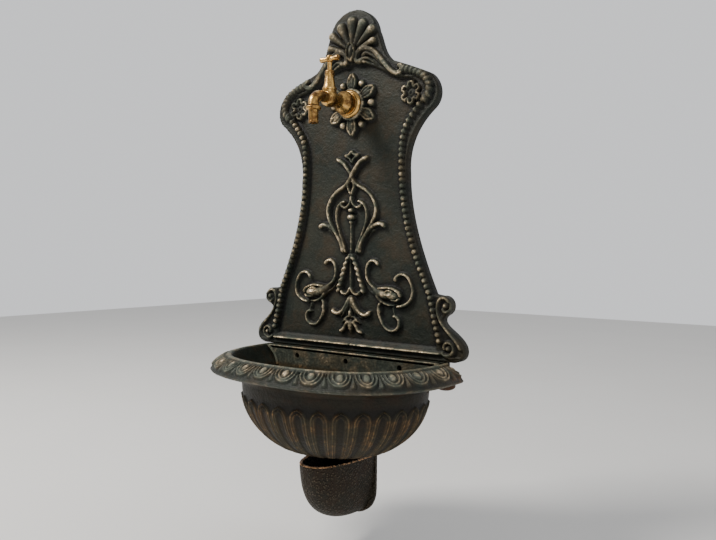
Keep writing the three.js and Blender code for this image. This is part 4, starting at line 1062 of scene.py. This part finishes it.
piece(body_bm, "tap_cock", "body", ["tap_body"], tap_brass)

nozzle_bm = bmesh.new()
turned(
    nozzle_bm,
    rounded_turning([
        (4.6, 69), (7.4, 69), (7.4, 71), (7.0, 72.5), (7.1, 87.4), (9.6, 87.6), (11, 89.2), (11, 92.0),
        (8.8, 93.7), (4.6, 93.7), (4.6, 69),
    ], 0.5),
    (0, -SPOUT_OUT, 0),
)
piece(nozzle_bm, "tap_mouthpiece", "body", ["tap_nozzle"], tap_brass)

bonnet_bm = bmesh.new()
turned(
    bonnet_bm,
    rounded_turning([
        (0, 122.3), (10.6, 122.3), (10.6, 125.3), (9.0, 127.3), (6.4, 143), (7.2, 145), (7.0, 149.6),
        (6.0, 151), (3.8, 151), (3.8, 134.6), (0, 134.6),
    ], 0.6),
    (0, -SPINDLE_OUT, 0),
)
piece(bonnet_bm, "tap_neck", "body", ["tap_bonnet"], tap_brass)

spindle_bm = bmesh.new()
threads = [(3.5 - 0.35 * (k % 2), 135.6 + 0.65 * k) for k in range(43)]
turned(spindle_bm, [(0, 135)] + threads + [(3.1, 163.7), (0, 163.7)], (0, -SPINDLE_OUT, 0))
piece(spindle_bm, "tap_screw", "handle", ["tap_spindle"], tap_brass)

handle_bm = bmesh.new()
hub = rounded_turning([(0, 164), (4.8, 164), (4.8, 171.6), (3.2, 173.2), (0, 173.2)], 0.8)
turned(handle_bm, hub, (0, -SPINDLE_OUT, 0))
bar = rounded_turning([
    (0, -18), (2.6, -17.8), (3.9, -16), (4.0, -14), (3.0, -7), (3.3, 0),
    (3.0, 7), (4.0, 14), (3.9, 16), (2.6, 17.8), (0, 18),
], 1.0)
turned(handle_bm, bar, (0, 0, 0), steps=40)
laid = [v for v in handle_bm.verts if v.co.z < 100]
bmesh.ops.rotate(handle_bm, cent=(0, 0, 0), matrix=Matrix.Rotation(math.pi / 2, 3, "Y"), verts=laid)
bmesh.ops.translate(handle_bm, vec=(0, -SPINDLE_OUT, HANDLE_Z), verts=laid)
piece(handle_bm, "tap_bar", "handle", ["tap_handle"], tap_brass)

# The setting: a plain pale floor below the piece, soft light from the upper left and a camera
# that looks at the wall from the right.
FLOOR_Z = -0.56
floor_bm = bmesh.new()
bmesh.ops.create_grid(floor_bm, x_segments=1, y_segments=1, size=4.0)
bmesh.ops.translate(floor_bm, vec=(0, 0, FLOOR_Z), verts=floor_bm.verts)
floor_mesh = bpy.data.meshes.new("floor")
floor_bm.to_mesh(floor_mesh)
floor_bm.free()
floor = bpy.data.objects.new("floor", floor_mesh)
bpy.context.scene.collection.objects.link(floor)
floor_look = Finish("pale floor")
floor_tone = floor_look.mix(floor_look.noise(3.0), (0.70, 0.69, 0.67, 1), (0.74, 0.73, 0.71, 1))
floor_look.feed(floor_look.shader.inputs["Base Color"], floor_tone)
floor_look.shader.inputs["Roughness"].default_value = 0.9
floor_mesh.materials.append(floor_look.material)

sky = bpy.data.worlds.new("studio")
sky.use_nodes = True
sky_nodes = sky.node_tree.nodes
direction = sky_nodes.new("ShaderNodeTexCoord")
parts = sky_nodes.new("ShaderNodeSeparateXYZ")
dimmed = sky_nodes.new("ShaderNodeMapRange")
for socket, value in (("From Min", -0.35), ("From Max", 0.25), ("To Min", 0.40), ("To Max", 1.0)):
    dimmed.inputs[socket].default_value = value
sky.node_tree.links.new(direction.outputs["Generated"], parts.inputs["Vector"])
sky.node_tree.links.new(parts.outputs["Y"], dimmed.inputs["Value"])
sky.node_tree.links.new(dimmed.outputs["Result"], sky_nodes["Background"].inputs["Strength"])
sky_nodes["Background"].inputs["Color"].default_value = (0.88, 0.89, 0.91, 1)
bpy.context.scene.world = sky


def soft_light(name, place, aim, size, power, tone):
    """A large soft lamp that points at a place."""
    data = bpy.data.lights.new(name, "AREA")
    data.shape, data.size, data.energy, data.color = "SQUARE", size, power, tone
    lamp = bpy.data.objects.new(name, data)
    lamp.location = place
    forward = Vector(aim) - Vector(place)
    lamp.rotation_euler = forward.to_track_quat("-Z", "Y").to_euler()
    bpy.context.scene.collection.objects.link(lamp)


soft_light("key", (-1.3, -1.5, 1.9), (0, -0.05, -0.05), 0.8, 105, (1.0, 0.97, 0.92))
soft_light("fill", (1.8, -1.6, 0.5), (0, -0.05, -0.1), 1.4, 12, (0.92, 0.95, 1.0))

CAMERA_PLACE = (0.6485, -0.8684, -0.1138)
FOCAL_PX, PHOTO_PX, SENSOR = 700.0, 716.0, 36.0
YAW, PITCH, ROLL = 0.6379, -0.0256, 0.0080
level_ahead = Vector((-math.sin(YAW), math.cos(YAW), 0))
level_right = Vector((math.cos(YAW), math.sin(YAW), 0))
plumb = Vector((0, 0, 1))
ahead = level_ahead * math.cos(PITCH) + plumb * math.sin(PITCH)
above = plumb * math.cos(PITCH) - level_ahead * math.sin(PITCH)
right = level_right * math.cos(ROLL) + above * math.sin(ROLL)
above = above * math.cos(ROLL) - level_right * math.sin(ROLL)
camera_data = bpy.data.cameras.new("camera")
camera_data.sensor_width = SENSOR
camera_data.lens = FOCAL_PX * SENSOR / PHOTO_PX
camera = bpy.data.objects.new("camera", camera_data)
stance = Matrix((right, above, -ahead)).transposed().to_4x4()
stance.translation = Vector(CAMERA_PLACE)
camera.matrix_world = stance
bpy.context.scene.collection.objects.link(camera)
bpy.context.scene.camera = camera
